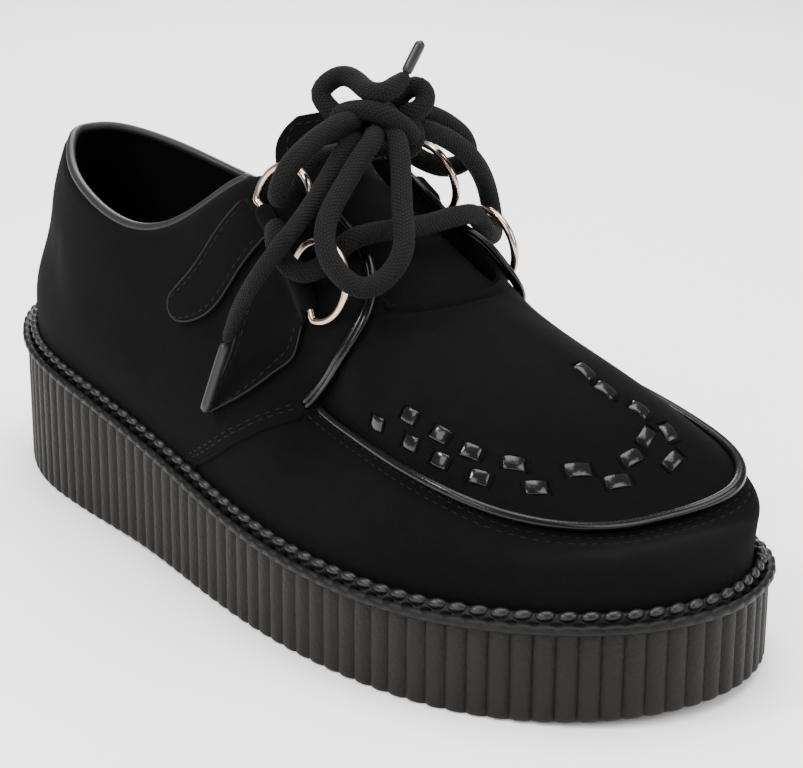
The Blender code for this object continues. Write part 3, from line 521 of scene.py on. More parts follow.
def add_lights():
    """Soft boxes above, behind and to both sides, over a pale floor and a white surround."""
    boxes = (
        ("light_top", (0.10, 0.15, 1.15), 0.9, 16.0),
        ("light_front_left", (0.35, -1.10, 0.75), 0.8, 10.0),
        ("light_right", (1.15, 0.45, 0.65), 0.7, 8.0),
        ("light_back", (-0.95, 0.75, 0.80), 0.7, 12.0),
        ("light_glint", (-0.25, -0.75, 1.00), 0.22, 9.0),
    )
    for name, place, side, power in boxes:
        data = bpy.data.lights.new(name, "AREA")
        data.shape = "SQUARE"
        data.size = side
        data.energy = power
        light = bpy.data.objects.new(name, data)
        bpy.context.scene.collection.objects.link(light)
        light.location = place
        aim = Vector((0.0, 0.0, 0.05)) - Vector(place)
        light.rotation_euler = aim.to_track_quat("-Z", "Y").to_euler()
    world = bpy.data.worlds.new("surround")
    world.use_nodes = True
    tree = world.node_tree
    lit = tree.nodes["Background"]
    lit.inputs["Color"].default_value = (1.0, 1.0, 1.0, 1.0)
    lit.inputs["Strength"].default_value = 1.45
    dim = tree.nodes.new("ShaderNodeBackground")
    dim.inputs["Color"].default_value = (1.0, 1.0, 1.0, 1.0)
    dim.inputs["Strength"].default_value = 0.45
    rays = tree.nodes.new("ShaderNodeLightPath")
    mix = tree.nodes.new("ShaderNodeMixShader")
    tree.links.new(rays.outputs["Is Glossy Ray"], mix.inputs["Fac"])
    tree.links.new(lit.outputs["Background"], mix.inputs[1])
    tree.links.new(dim.outputs["Background"], mix.inputs[2])
    tree.links.new(mix.outputs["Shader"], tree.nodes["World Output"].inputs["Surface"])
    bpy.context.scene.world = world
    mesh = bmesh.new()
    bmesh.ops.create_grid(mesh, x_segments=1, y_segments=1, size=6.0)
    data = bpy.data.meshes.new("floor")
    mesh.to_mesh(data)
    mesh.free()
    floor = bpy.data.objects.new("floor", data)
    bpy.context.scene.collection.objects.link(floor)
    material, shader = plain_material("floor_paper", (0.97, 0.97, 0.97), 0.8)
    data.materials.append(material)


# Materials


def plain_material(name, colour, roughness, metallic=0.0):
    material = bpy.data.materials.new(name)
    material.use_nodes = True
    shader = material.node_tree.nodes["Principled BSDF"]
    shader.inputs["Base Color"].default_value = (*colour, 1.0)
    shader.inputs["Roughness"].default_value = roughness
    shader.inputs["Metallic"].default_value = metallic
    return material, shader


def add_node(tree, kind, **settings):
    node = tree.nodes.new(kind)
    for name, value in settings.items():
        setattr(node, name, value)
    return node


def maths(tree, operation, first, second=None, clamp=False):
    """Math node fed by sockets or plain numbers."""
    node = add_node(tree, "ShaderNodeMath", operation=operation, use_clamp=clamp)
    for socket, value in zip(node.inputs, (first, second)):
        if isinstance(value, (int, float)):
            socket.default_value = value
        elif value is not None:
            tree.links.new(value, socket)
    return node.outputs[0]


def blend_colour(tree, share, first, second):
    node = add_node(tree, "ShaderNodeMix", data_type="RGBA")
    tree.links.new(share, node.inputs["Factor"])
    node.inputs["A"].default_value = (*first, 1.0)
    node.inputs["B"].default_value = (*second, 1.0)
    return node.outputs["Result"]


def effect(name, inputs, outputs):
    """Empty shader node group with named number inputs and outputs."""
    tree = bpy.data.node_groups.new(name, "ShaderNodeTree")
    for label, value in inputs.items():
        socket = tree.interface.new_socket(label, in_out="INPUT", socket_type="NodeSocketFloat")
        socket.default_value = value
    tree.interface.new_socket("Vector", in_out="INPUT", socket_type="NodeSocketVector")
    for label in outputs:
        tree.interface.new_socket(label, in_out="OUTPUT", socket_type="NodeSocketFloat")
    return tree, tree.nodes.new("NodeGroupInput"), tree.nodes.new("NodeGroupOutput")


def noise(tree, vector, scale, detail=3.0, roughness=0.5):
    node = add_node(tree, "ShaderNodeTexNoise")
    node.inputs["Detail"].default_value = detail
    node.inputs["Roughness"].default_value = roughness
    tree.links.new(vector, node.inputs["Vector"])
    if isinstance(scale, (int, float)):
        node.inputs["Scale"].default_value = scale
    else:
        tree.links.new(scale, node.inputs["Scale"])
    return node.outputs["Fac"]


def make_nap():
    """Short fibres: fine height, and patches where the pile lies one way or the other."""
    tree, given, made = effect("nap", {"Fibre Scale": 2600.0, "Patch Scale": 26.0}, ("Height", "Lie"))
    fibre = noise(tree, given.outputs["Vector"], given.outputs["Fibre Scale"], 2.0)
    patch = noise(tree, given.outputs["Vector"], given.outputs["Patch Scale"], 4.0, 0.6)
    streak = noise(tree, given.outputs["Vector"], maths(tree, "MULTIPLY", given.outputs["Patch Scale"], 9.0), 2.0)
    tree.links.new(fibre, made.inputs["Height"])
    lie = maths(tree, "ADD", maths(tree, "MULTIPLY", patch, 0.7), maths(tree, "MULTIPLY", streak, 0.3))
    lie = maths(tree, "ADD", maths(tree, "MULTIPLY", lie, 0.7), maths(tree, "MULTIPLY", fibre, 0.3))
    tree.links.new(lie, made.inputs["Lie"])
    return tree


def make_grain():
    """Fine pebbled grain of finished leather and moulded rubber, and soft marks over it."""
    tree, given, made = effect("grain", {"Scale": 900.0, "Mark Scale": 60.0}, ("Height", "Marks"))
    cells = add_node(tree, "ShaderNodeTexVoronoi")
    tree.links.new(given.outputs["Vector"], cells.inputs["Vector"])
    tree.links.new(given.outputs["Scale"], cells.inputs["Scale"])
    fine = noise(tree, given.outputs["Vector"], maths(tree, "MULTIPLY", given.outputs["Scale"], 1.7), 2.0)
    height = maths(tree, "ADD", maths(tree, "MULTIPLY", cells.outputs["Distance"], 0.6), maths(tree, "MULTIPLY", fine, 0.4))
    tree.links.new(height, made.inputs["Height"])
    tree.links.new(noise(tree, given.outputs["Vector"], given.outputs["Mark Scale"], 4.0, 0.6), made.inputs["Marks"])
    return tree


def make_braid():
    """Strands that cross round a cord, with painted shade between them. The vector is along and around, in turns of the
    cord.
    """
    tree, given, made = effect("braid", {"Strands": 11.0}, ("Height", "Groove Shade"))
    parts = add_node(tree, "ShaderNodeSeparateXYZ")
    tree.links.new(given.outputs["Vector"], parts.inputs[0])
    turn = maths(tree, "MULTIPLY", given.outputs["Strands"], 2.0 * math.pi)
    along = maths(tree, "MULTIPLY", parts.outputs["X"], maths(tree, "MULTIPLY", turn, 1.35))
    around = maths(tree, "MULTIPLY", parts.outputs["Y"], turn)
    right = maths(tree, "SINE", maths(tree, "ADD", along, around))
    left = maths(tree, "SINE", maths(tree, "SUBTRACT", along, around))
    weave = maths(tree, "MULTIPLY", right, left)
    height = maths(tree, "ADD", maths(tree, "MULTIPLY", maths(tree, "MAXIMUM", right, left), 0.35), maths(tree, "MULTIPLY", weave, 0.25))
    height = maths(tree, "ADD", height, 0.45, clamp=True)
    tree.links.new(height, made.inputs["Height"])
    # Painted shade for the lace's colour: darker where the crossing strands dip
    tree.links.new(maths(tree, "ADD", maths(tree, "MULTIPLY", weave, 0.5), 0.5), made.inputs["Groove Shade"])
    return tree


def use_effect(material, effect_tree, coordinate="Object", **values):
    tree = material.node_tree
    node = tree.nodes.new("ShaderNodeGroup")
    node.node_tree = effect_tree
    places = add_node(tree, "ShaderNodeTexCoord")
    tree.links.new(places.outputs[coordinate], node.inputs["Vector"])
    for label, value in values.items():
        node.inputs[label.replace("_", " ")].default_value = value
    return node


def add_bump(material, shader, height, depth, strength=1.0):
    tree = material.node_tree
    bump = add_node(tree, "ShaderNodeBump")
    bump.inputs["Distance"].default_value = depth
    bump.inputs["Strength"].default_value = strength
    tree.links.new(height, bump.inputs["Height"])
    tree.links.new(bump.outputs["Normal"], shader.inputs["Normal"])


def scaled(tree, value, low, high):
    return maths(tree, "ADD", maths(tree, "MULTIPLY", value, high - low), low)


def make_materials():
    nap, grain, braid = make_nap(), make_grain(), make_braid()
    made = {}
    for name, dark, light in (
        ("suede", (0.0007, 0.0007, 0.0008), (0.0052, 0.0050, 0.0053)),
        ("lining", (0.0009, 0.0009, 0.0010), (0.0035, 0.0035, 0.0038)),
    ):
        material, shader = plain_material(name, dark, 0.95)
        node = use_effect(material, nap)
        tree = material.node_tree
        tree.links.new(blend_colour(tree, node.outputs["Lie"], dark, light), shader.inputs["Base Color"])
        tree.links.new(scaled(tree, node.outputs["Lie"], 0.86, 1.0), shader.inputs["Roughness"])
        shader.inputs["Specular IOR Level"].default_value = 0.03
        shader.inputs["Sheen Weight"].default_value = 0.014
        shader.inputs["Sheen Roughness"].default_value = 0.45
        add_bump(material, shader, node.outputs["Height"], 0.00025, 0.6)
        made[name] = material
    for name, dark, light, rough, gloss, coat, depth in (
        ("binding", (0.0075, 0.0068, 0.0064), (0.0170, 0.0152, 0.0142), (0.38, 0.54), 0.22, 0.05, 0.00008),
        ("piping", (0.0008, 0.0008, 0.0010), (0.0030, 0.0030, 0.0034), (0.18, 0.30), 0.24, 0.08, 0.00006),
        ("patent", (0.0006, 0.0006, 0.0008), (0.0022, 0.0022, 0.0028), (0.12, 0.24), 0.32, 0.22, 0.00010),
        ("rubber", (0.0024, 0.0020, 0.0017), (0.0115, 0.0095, 0.0084), (0.50, 0.70), 0.18, 0.0, 0.00032),
        ("welt_rubber", (0.0022, 0.0021, 0.0020), (0.0080, 0.0074, 0.0071), (0.40, 0.60), 0.16, 0.0, 0.00012),
        # The welt's beads: a lighter copy of the welt's rubber, a painted highlight
        ("welt_bead_painted_highlight", (0.0024, 0.0023, 0.0023), (0.0125, 0.0117, 0.0120), (0.30, 0.48), 0.32, 0.06, 0.00012),
        ("cut_edge", (0.0060, 0.0059, 0.0058), (0.0170, 0.0165, 0.0160), (0.50, 0.70), 0.12, 0.0, 0.00004),
        ("aglet", (0.0090, 0.0088, 0.0086), (0.0200, 0.0195, 0.0190), (0.30, 0.46), 0.30, 0.05, 0.00004),
        ("thread", (0.0012, 0.0012, 0.0013), (0.0050, 0.0050, 0.0054), (0.45, 0.65), 0.16, 0.0, 0.00005),
        ("board", (0.0016, 0.0016, 0.0018), (0.0050, 0.0050, 0.0054), (0.75, 0.95), 0.1, 0.0, 0.00010),
    ):
        material, shader = plain_material(name, dark, rough[0])
        node = use_effect(material, grain)
        tree = material.node_tree
        tree.links.new(blend_colour(tree, node.outputs["Marks"], dark, light), shader.inputs["Base Color"])
        tree.links.new(scaled(tree, node.outputs["Marks"], *rough), shader.inputs["Roughness"])
        shader.inputs["Specular IOR Level"].default_value = gloss
        shader.inputs["Coat Weight"].default_value = coat
        shader.inputs["Coat Roughness"].default_value = 0.18
        add_bump(material, shader, node.outputs["Height"], depth, 0.7)
        made[name] = material
    material, shader = plain_material("lace", (0.010, 0.010, 0.011), 0.8)
    node = use_effect(material, braid, "UV")
    fuzz = use_effect(material, nap, Fibre_Scale=3000.0, Patch_Scale=120.0)
    tree = material.node_tree
    # Lace colour: painted shade between the braid's strands, times the fuzz's random tone
    shade = maths(tree, "MULTIPLY", node.outputs["Groove Shade"], scaled(tree, fuzz.outputs["Lie"], 0.5, 1.4))
    tree.links.new(blend_colour(tree, shade, (0.0010, 0.0010, 0.0011), (0.0090, 0.0088, 0.0092)), shader.inputs["Base Color"])
    tree.links.new(scaled(tree, fuzz.outputs["Lie"], 0.7, 0.95), shader.inputs["Roughness"])
    shader.inputs["Sheen Weight"].default_value = 0.015
    shader.inputs["Specular IOR Level"].default_value = 0.10
    height = maths(tree, "ADD", node.outputs["Height"], maths(tree, "MULTIPLY", fuzz.outputs["Height"], 0.3))
    add_bump(material, shader, height, 0.0006, 0.9)
    made["lace"] = material
    material, shader = plain_material("nickel", (0.62, 0.52, 0.45), 0.16, 1.0)
    node = use_effect(material, grain, Scale=1400.0, Mark_Scale=150.0)
    tree = material.node_tree
    tree.links.new(blend_colour(tree, node.outputs["Marks"], (0.40, 0.31, 0.27), (0.62, 0.53, 0.46)), shader.inputs["Base Color"])
    tree.links.new(scaled(tree, node.outputs["Marks"], 0.12, 0.28), shader.inputs["Roughness"])
    made["nickel"] = material
    return made


# Pieces

MATERIALS = make_materials()


def piece(name, mesh, material, replaced=(), smooth=50.0):
    """Links a finished bmesh as a piece on the shoe's body."""
    data = bpy.data.meshes.new(name)
    mesh.to_mesh(data)
    mesh.free()
    data.shade_smooth()
    data.set_sharp_from_angle(angle=math.radians(smooth))
    made = bpy.data.objects.new(name, data)
    bpy.context.scene.collection.objects.link(made)
    data.materials.append(MATERIALS[material])
    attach(made, "root")
    if replaced:
        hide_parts(*replaced)
    return made


def spread(columns, rows, place, size=(1.0, 1.0)):
    """bmesh grid whose points go to place(u, v), with u along its columns and v along its rows, both 0 to 1.

    size scales the UV map. Points that come together are merged.
    """
    mesh = bmesh.new()
    layer = mesh.loops.layers.uv.new("UVMap")
    bmesh.ops.create_grid(mesh, x_segments=columns, y_segments=rows, size=0.5, calc_uvs=True)
    share = np.array([vert.co for vert in mesh.verts])[:, :2] + 0.5
    points = place(share[:, 0], share[:, 1])
    for face in mesh.faces:
        for loop in face.loops:
            loop[layer].uv = ((loop.vert.co.x + 0.5) * size[0], (loop.vert.co.y + 0.5) * size[1])
    for vert, point in zip(mesh.verts, points):
        vert.co = Vector(point) * MM
    bmesh.ops.remove_doubles(mesh, verts=mesh.verts, dist=1e-7)
    return mesh


def faces_out(mesh):
    bmesh.ops.recalc_face_normals(mesh, faces=mesh.faces)
    return mesh


def path_frames(points, closed=False):
    """Two unit vectors square to a path at each of its points, turning no more than the path does."""
    if closed:
        ahead = np.roll(points, -1, axis=0) - np.roll(points, 1, axis=0)
    else:
        ahead = np.gradient(points, axis=0)
    ahead /= np.linalg.norm(ahead, axis=1, keepdims=True)
    start = np.cross(ahead[0], (0.3, 0.2, 1.0))
    sides = [start / np.linalg.norm(start)]
    for line in ahead[1:]:
        side = sides[-1] - line * (sides[-1] @ line)
        sides.append(side / np.linalg.norm(side))
    sides = np.array(sides)
    if closed:
        back = sides[-1] - ahead[0] * (sides[-1] @ ahead[0])
        back /= np.linalg.norm(back)
        twist = math.atan2(np.cross(sides[0], back) @ ahead[0], sides[0] @ back)
        share = np.arange(len(points)) / len(points) * -twist
        ups = np.cross(ahead, sides)
        sides = sides * np.cos(share)[:, None] + ups * np.sin(share)[:, None]
    return sides, np.cross(ahead, sides)


def cord_mesh(points, radius, sides=16, closed=False, round_ends=True, taper=None, flat=1.0):
    """Round skin along points. taper(share) scales the radius along it, and flat squeezes it one way."""
    points = np.asarray(points, float)
    side, up = path_frames(points, closed)
    steps = np.linalg.norm(np.diff(points, axis=0), axis=1)
    arc = np.concatenate([[0], np.cumsum(steps)])
    size = np.full(len(points), radius)
    if taper is not None:
        size = size * taper(arc / arc[-1])
    if round_ends and not closed:
        near = np.clip(np.minimum(arc, arc[-1] - arc) / radius, 0, 1)
        size = size * np.sqrt(np.clip(1 - (1 - near) ** 2, 0.02, 1))
    if closed:
        points = np.vstack([points, points[:1]])
        side = np.vstack([side, side[:1]])
        up = np.vstack([up, up[:1]])
        size = np.append(size, size[0])
        arc = np.append(arc, arc[-1] + np.linalg.norm(points[-1] - points[-2]))
    count = len(points) - 1

    def place(u, v):
        k = np.rint(u * count).astype(int)
        angle = v * 2 * math.pi
        round_it = side[k] * np.cos(angle)[:, None] + up[k] * np.sin(angle)[:, None] * flat
        return points[k] + round_it * size[k][:, None]

    mesh = spread(count, sides, place, (arc[-1] / (2 * math.pi * radius), 1.0))
    edges = [edge for edge in mesh.edges if edge.is_boundary]
    if edges:
        bmesh.ops.holes_fill(mesh, edges=edges, sides=0)
    return faces_out(mesh)


def evenly(points, step):
    return route(points, step)


def closed_route(points, step):
    """Evenly spaced points on the smooth closed curve through a list of points."""
    points = np.asarray(points, float)
    ring = np.vstack([points, points[:1]])
    knots = np.concatenate([[0], np.cumsum(np.linalg.norm(np.diff(ring, axis=0), axis=1))])
    fine = np.linspace(0, knots[-1], 60 * len(points))
    curve = loop_spline(knots[:-1], points, fine, knots[-1])
    curve[-1] = curve[0]
    arc = np.concatenate([[0], np.cumsum(np.linalg.norm(np.diff(curve, axis=0), axis=1))])
    count = round(arc[-1] / step)
    at = np.arange(count) * arc[-1] / count
    return np.stack([np.interp(at, arc, curve[:, i]) for i in range(3)], -1)


# Places on the wall


def border_table(medial):
    """The quarter's edge on one side: its place round the shoe for each height share."""
    return np.array([(LAST.find(x, t, medial), t) for x, t in QUARTER_EDGE])


BORDERS = {"lateral": border_table(False), "medial": border_table(True)}


def quarter_height(s, t):
    """1 on the quarters, 0 on the vamp and apron, with a soft edge between."""
    lateral = np.interp(t, BORDERS["lateral"][:, 1], BORDERS["lateral"][:, 0])
    medial = np.interp(t, BORDERS["medial"][:, 1], BORDERS["medial"][:, 0])
    soft = 0.0016
    near = np.clip((lateral - s) / soft * 0.5 + 0.5, 0, 1)
    far = np.clip((s - medial) / soft * 0.5 + 0.5, 0, 1)
    share = np.maximum(near, far)
    return share * share * (3 - 2 * share)


def relief(s, t):
    """How far the suede stands off the last, in mm, at matching arrays of places and height shares."""
    height = quarter_height(s, t) * QUARTER_LIFT
    front = 1 - quarter_height(s, t)
    for row, depth, width in ((0.474, 0.40, 0.011), (0.446, 0.34, 0.011)):
        height -= front * depth * np.exp(-((t - row) / width) ** 2)
    height += front * 0.5 * np.exp(-((t - 0.50) / 0.02) ** 2)
    swell = np.sin(s * 43.0 + t * 5.0) * np.sin(t * 9.0 + s * 17.0 + 0.6)
    height += swell * 0.22 * np.sin(math.pi * np.clip(t, 0, 1))
    for centre, level, depth, lean in (
        (0.335, 0.36, 0.35, 0.10), (0.352, 0.33, 0.28, 0.12), (0.655, 0.36, 0.32, -0.10), (0.20, 0.40, 0.35, 0.05),
        (0.155, 0.52, 0.30, 0.03), (0.80, 0.42, 0.30, -0.05), (0.09, 0.62, 0.28, 0.0), (0.91, 0.60, 0.28, 0.0),
    ):
        across = (s - centre - lean * (t - level)) / 0.010
        height -= depth * np.exp(-across ** 2 - ((t - level) / 0.14) ** 2)
    return height * np.clip((1 - t) / 0.03, 0, 1) * np.clip(t / 0.02, 0, 1)


def on_wall(s, t, lift=0.0):
    """Points on the dressed wall, with its three unit vectors: along it, up it and out of it."""
    s = np.atleast_1d(np.asarray(s, float))
    t = np.broadcast_to(np.asarray(t, float), s.shape)
    out, rise = LAST.frame(s, t)
    points = LAST.at(s, t) + out * (relief(s, t) + lift)[:, None]
    return points, np.cross(rise, out), rise, out


def make_upper():
    """Suede wall over the last with its seams and soft troughs, lined inside."""
    columns, rows = 480, 84
    s = np.linspace(0, 1, columns + 1)
    t = np.linspace(0, 1, rows + 1) ** 0.92
    grid = LAST.grid(s[:-1], t)
    around = np.roll(grid, -1, axis=1) - np.roll(grid, 1, axis=1)
    rise = np.gradient(grid, axis=0)
    out = np.cross(around, rise)
    out /= np.linalg.norm(out, axis=2, keepdims=True)
    sheet_s, sheet_t = np.meshgrid(s[:-1], t)
    grid = grid + out * relief(sheet_s, sheet_t)[:, :, None]

    def place(u, v):
        return grid[np.rint(v * rows).astype(int), np.rint(u * columns).astype(int) % columns]

    mesh = faces_out(spread(columns, rows, place, (700.0, 60.0)))
    if sum(face.normal.y * face.calc_center_median().y for face in mesh.faces) < 0:
        bmesh.ops.reverse_faces(mesh, faces=mesh.faces)
    upper = piece("upper_suede", mesh, "suede", ("upper",), 180.0)
    upper.data.materials.append(MATERIALS["lining"])
    wall = upper.modifiers.new("wall", "SOLIDIFY")
    wall.thickness = UPPER_WALL * MM
    wall.offset = -1.0
    wall.material_offset = 1
    wall.material_offset_rim = 1


def edge_bead(s):
    out, rise = LAST.frame(s, 1.0)
    return LAST.at(s, 1.0) - out * UPPER_WALL / 2 + rise * (PIPING_RADIUS + BEAD_GAP)


def corner_bead(s):
    out, rise = LAST.frame(s, 1.0)
    return LAST.at(s, 1.0) + (out + rise) * (PIPING_RADIUS + BEAD_GAP)


def face_bead(s, t, lift=PIPING_RADIUS + BEAD_GAP):
    out, _ = LAST.frame(s, t)
    return LAST.at(s, t) + out * lift


def make_piping():
    """Binding round the collar, the apron's bead and the twin beads down each facing."""
    lateral = LAST.find(*COLLAR_CORNER, medial=False)
    medial = LAST.find(*COLLAR_CORNER, medial=True)
    back = np.linspace(lateral - CORNER_GAP, medial + CORNER_GAP - 1.0, 60)
    sunk = edge_bead(back) - LAST.frame(back, 1.0)[1] * 0.9
    piece("collar_binding", cord_mesh(evenly(sunk, 1.6), 1.45, 16), "binding", ("piping_collar",), 180.0)
    start = LAST.find(APRON_END, 0.5, medial=False)
    end = LAST.find(APRON_END, 0.5, medial=True)
    front = np.linspace(start, end, 60)
    bead = face_bead(front, 0.5, 1.25)
    piece(
        "apron_piping",
        cord_mesh(evenly(bead, 1.6), 1.4, 16, taper=lambda share: np.interp(share, *APRON_SWELL)),
        "piping", ("piping_apron",), 180.0,
    )
    for side, is_medial in (("lateral", False), ("medial", True)):
        top = [LAST.find(x, 1.0, is_medial) for x in FACING_TOP]
        over = [edge_bead([s])[0] for s in top]
        over.append(corner_bead([LAST.find(FACING_CORNER, 1.0, is_medial)])[0])
        down = [face_bead([LAST.find(x, t, is_medial)], t)[0] for x, t in FACING_FALL + FACING_FOOT]
        middle = evenly(over + down, 1.6)
        for _ in range(BEAD_SMOOTHING):
            middle[1:-1] = (middle[:-2] + 2 * middle[1:-1] + middle[2:]) / 4
        shoe_side = np.array([0.0, 1.0 if is_medial else -1.0, 0.35])
        ahead = np.gradient(middle, axis=0)
        ahead /= np.linalg.norm(ahead, axis=1, keepdims=True)
        across = np.cross(ahead, shoe_side)
        across /= np.linalg.norm(across, axis=1, keepdims=True)
        for twin, shift in (("front", 0.78), ("back", -0.78)):
            name = f"facing_piping_{side}_{twin}"
            replaced = ("piping_facing_" + side,) if twin == "front" else ()
            piece(name, cord_mesh(middle + across * shift, 0.92, 12), "piping", replaced, 180.0)


def stitch_row(mesh, s, t, pitch=3.0, length=2.1, width=0.42, lift=-0.05):
    """Adds one short sunk stitch at each pitch along a line of places on the wall."""
    points, along, rise, out = on_wall(s, t, lift)
    arc = np.concatenate([[0], np.cumsum(np.linalg.norm(np.diff(points, axis=0), axis=1))])
    count = max(2, int(arc[-1] / pitch))
    for at in (np.arange(count) + 0.5) * arc[-1] / count:
        place = np.array([np.interp(at, arc, points[:, i]) for i in range(3)])
        ahead = np.array([np.interp(at + 0.5, arc, points[:, i]) for i in range(3)]) - place
        ahead = Vector(ahead).normalized()
        normal = Vector([np.interp(at, arc, out[:, i]) for i in range(3)]).normalized()
        side = normal.cross(ahead).normalized()
        turn = Matrix((ahead * length / 2 * MM, side * width / 2 * MM, normal * width / 2 * MM)).transposed()
        bmesh.ops.create_uvsphere(
            mesh, u_segments=8, v_segments=6, radius=1.0,
            matrix=Matrix.Translation(Vector(place) * MM) @ turn.to_4x4(),
        )


def make_stitching():
    """Rows under the apron's bead and twin rows in the quarter's edge."""
    start = LAST.find(APRON_END - 4, 0.47, medial=False)
    end = LAST.find(APRON_END - 4, 0.47, medial=True)
    mesh = bmesh.new()
    for t in (0.474, 0.446):
        s = np.linspace(start, end, 160)
        stitch_row(mesh, s, np.full(160, t))
    piece("apron_stitching", mesh, "thread", smooth=180.0)
    mesh = bmesh.new()
    for medial in (False, True):
        table = BORDERS["medial" if medial else "lateral"]
        t = np.linspace(0.03, 0.43, 60)
        s = np.interp(t, table[:, 1], table[:, 0])
        sign = 1.0 if medial else -1.0
        for inset in (0.0044, 0.0067):
            stitch_row(mesh, s + sign * inset, t + inset * 2.2)
    piece("side_seam_stitching", mesh, "thread", smooth=180.0)


def make_quarter_edges():
    """Folded edge of each quarter where it laps over the vamp."""
    for side in ("lateral", "medial"):
        table = BORDERS[side]
        t = np.linspace(0.005, 0.44, 60)
        s = np.interp(t, table[:, 1], table[:, 0])
        points = LAST.at(s, t) + LAST.frame(s, t)[0] * 0.25
        piece("quarter_edge_" + side, cord_mesh(evenly(points, 1.5), 0.62, 10), "suede", smooth=180.0)


def make_strips():
    """Woven strips of patent leather where they come up through the apron, with the slits at their ends drawn as dark
    lozenges of painted shade.
    """
    slit_shade_mesh = bmesh.new()
    number = 0
    for row, places in STRIP_ROWS.items():
        centres = on_wall([p[0] for p in places], [p[1] for p in places])[0]
        runs = np.gradient(centres, axis=0)
        for (s, t), centre, run in zip(places, centres, runs):
            out = Vector(LAST.frame([s], t)[0][0])
            along = Vector(run) - out * out.dot(Vector(run))
            along.normalize()
            across = out.cross(along)
            front = math.exp(-((s - 0.49) / 0.055) ** 2)
            length = 5.3 + 3.7 * front
            width = 3.9
            spread_x = 0.5 * length
            spread_y = 0.5 * width

            def place(u, v, centre=centre, out=out, along=along, across=across, spread_x=spread_x, spread_y=spread_y):
                x, y = u * 2 - 1, v * 2 - 1
                rise = 1.05 * (1 - np.abs(x) ** 2.6) ** 0.7 - 0.30 * np.abs(y) ** 3 - 0.45
                plan = np.outer(x * spread_x, along) + np.outer(y * spread_y * (1 - 0.05 * np.abs(x) ** 4), across)
                return np.array(centre) + plan + np.outer(rise, out)

            mesh = spread(12, 10, place, (1.0, 1.0))
            faces_out(mesh)
            if sum(face.normal.dot(out) for face in mesh.faces) < 0:
                bmesh.ops.reverse_faces(mesh, faces=mesh.faces)
            number += 1
            strip = piece(f"woven_strip_{number:02d}", mesh, "patent", smooth=180.0)
            wall = strip.modifiers.new("wall", "SOLIDIFY")
            wall.thickness = 0.5 * MM
            wall.offset = -1.0
            # Painted shade: a dark lozenge in the lining's colour at each end stands for the slit
            for end in (-1.0, 1.0):
                middle = Vector(centre) + along * spread_x * end * 1.04
                turn = Matrix((across * 2.25 * MM, along * 0.45 * MM, out * 0.36 * MM)).transposed()
                bmesh.ops.create_uvsphere(
                    slit_shade_mesh, u_segments=16, v_segments=8, radius=1.0,
                    matrix=Matrix.Translation((middle + out * 0.12) * MM) @ turn.to_4x4(),
                )
    piece("strip_slit_shade", slit_shade_mesh, "lining", smooth=180.0)


# The tongue's front lies flush with the apron: share of its length, with the share of its drop and mm added to
# its half width
TONGUE_LEVEL = ((0.0, 0.3, 0.5, 0.7, 0.85), (0.35, 0.38, 0.55, 0.9, 1.0))
TONGUE_SPREAD = ((0.0, 0.3, 0.5, 0.7), (1.6, 1.1, 0.6, 0.0))
TONGUE_FRONT = 0.0
TONGUE_JOINED = 0.36
THROAT_START = LAST.find(43.8, 1.0, False)
THROAT_END = LAST.find(43.8, 1.0, True)


def tongue_place(u, v):
    """Upper face of the tongue, arched across: u across it and v from its hidden end to its top."""
    rows = np.array(TONGUE_SECTIONS)
    knots = np.linspace(0, 1, len(rows))
    smooth = spline(knots, rows, v)
    ahead = spline(knots, rows[:, :2], np.clip(v + 0.01, 0, 1)) - spline(knots, rows[:, :2], np.clip(v - 0.01, 0, 1))
    ahead /= np.linalg.norm(ahead, axis=1, keepdims=True)
    inward = np.stack([-ahead[:, 1], ahead[:, 0]], -1)
    inward *= np.where(inward[:, 1:] < 0, 1.0, -1.0)
    across = u * 2 - 1
    level = np.interp(v, *TONGUE_LEVEL)
    fall = smooth[:, 3] * level * np.abs(across) ** TONGUE_ARCH
    half = smooth[:, 2] + np.interp(v, *TONGUE_SPREAD)
    x = smooth[:, 0] + inward[:, 0] * fall
    z = smooth[:, 1] + inward[:, 1] * fall
    points = np.stack([x, CENTRE_Y + half * across, z], -1)
    throat = LAST.at(THROAT_START + (THROAT_END - THROAT_START) * u, 1.0)
    share = np.clip((v - TONGUE_FRONT) / (TONGUE_JOINED - TONGUE_FRONT), 0, 1)[:, None]
    return np.where(v[:, None] < TONGUE_JOINED, throat + (points - throat) * share, points)


def make_tongue():
    mesh = faces_out(spread(40, 90, tongue_place, (30.0, 80.0)))
    if sum(face.normal.z for face in mesh.faces) < 0:
        bmesh.ops.reverse_faces(mesh, faces=mesh.faces)
    tongue = piece("tongue_suede", mesh, "suede", ("tongue",), 180.0)
    wall = tongue.modifiers.new("thickness", "SOLIDIFY")
    wall.thickness = TONGUE_THICKNESS * MM
    wall.offset = -1.0
    edge = tongue.modifiers.new("edge", "BEVEL")
    edge.width = 0.6 * MM
    edge.segments = 2
    edge.limit_method = "ANGLE"
    edge.angle_limit = math.radians(50)
    mesh = bmesh.new()
    v = np.concatenate([np.linspace(0.35, 0.93, 60), np.full(30, 0.93), np.linspace(0.93, 0.35, 60)])
    u = np.concatenate([np.full(60, 0.1), np.linspace(0.1, 0.9, 30), np.full(60, 0.9)])
    seam_row(mesh, tongue_place(u, v), 2.9)
    piece("tongue_stitching", mesh, "thread", smooth=180.0)


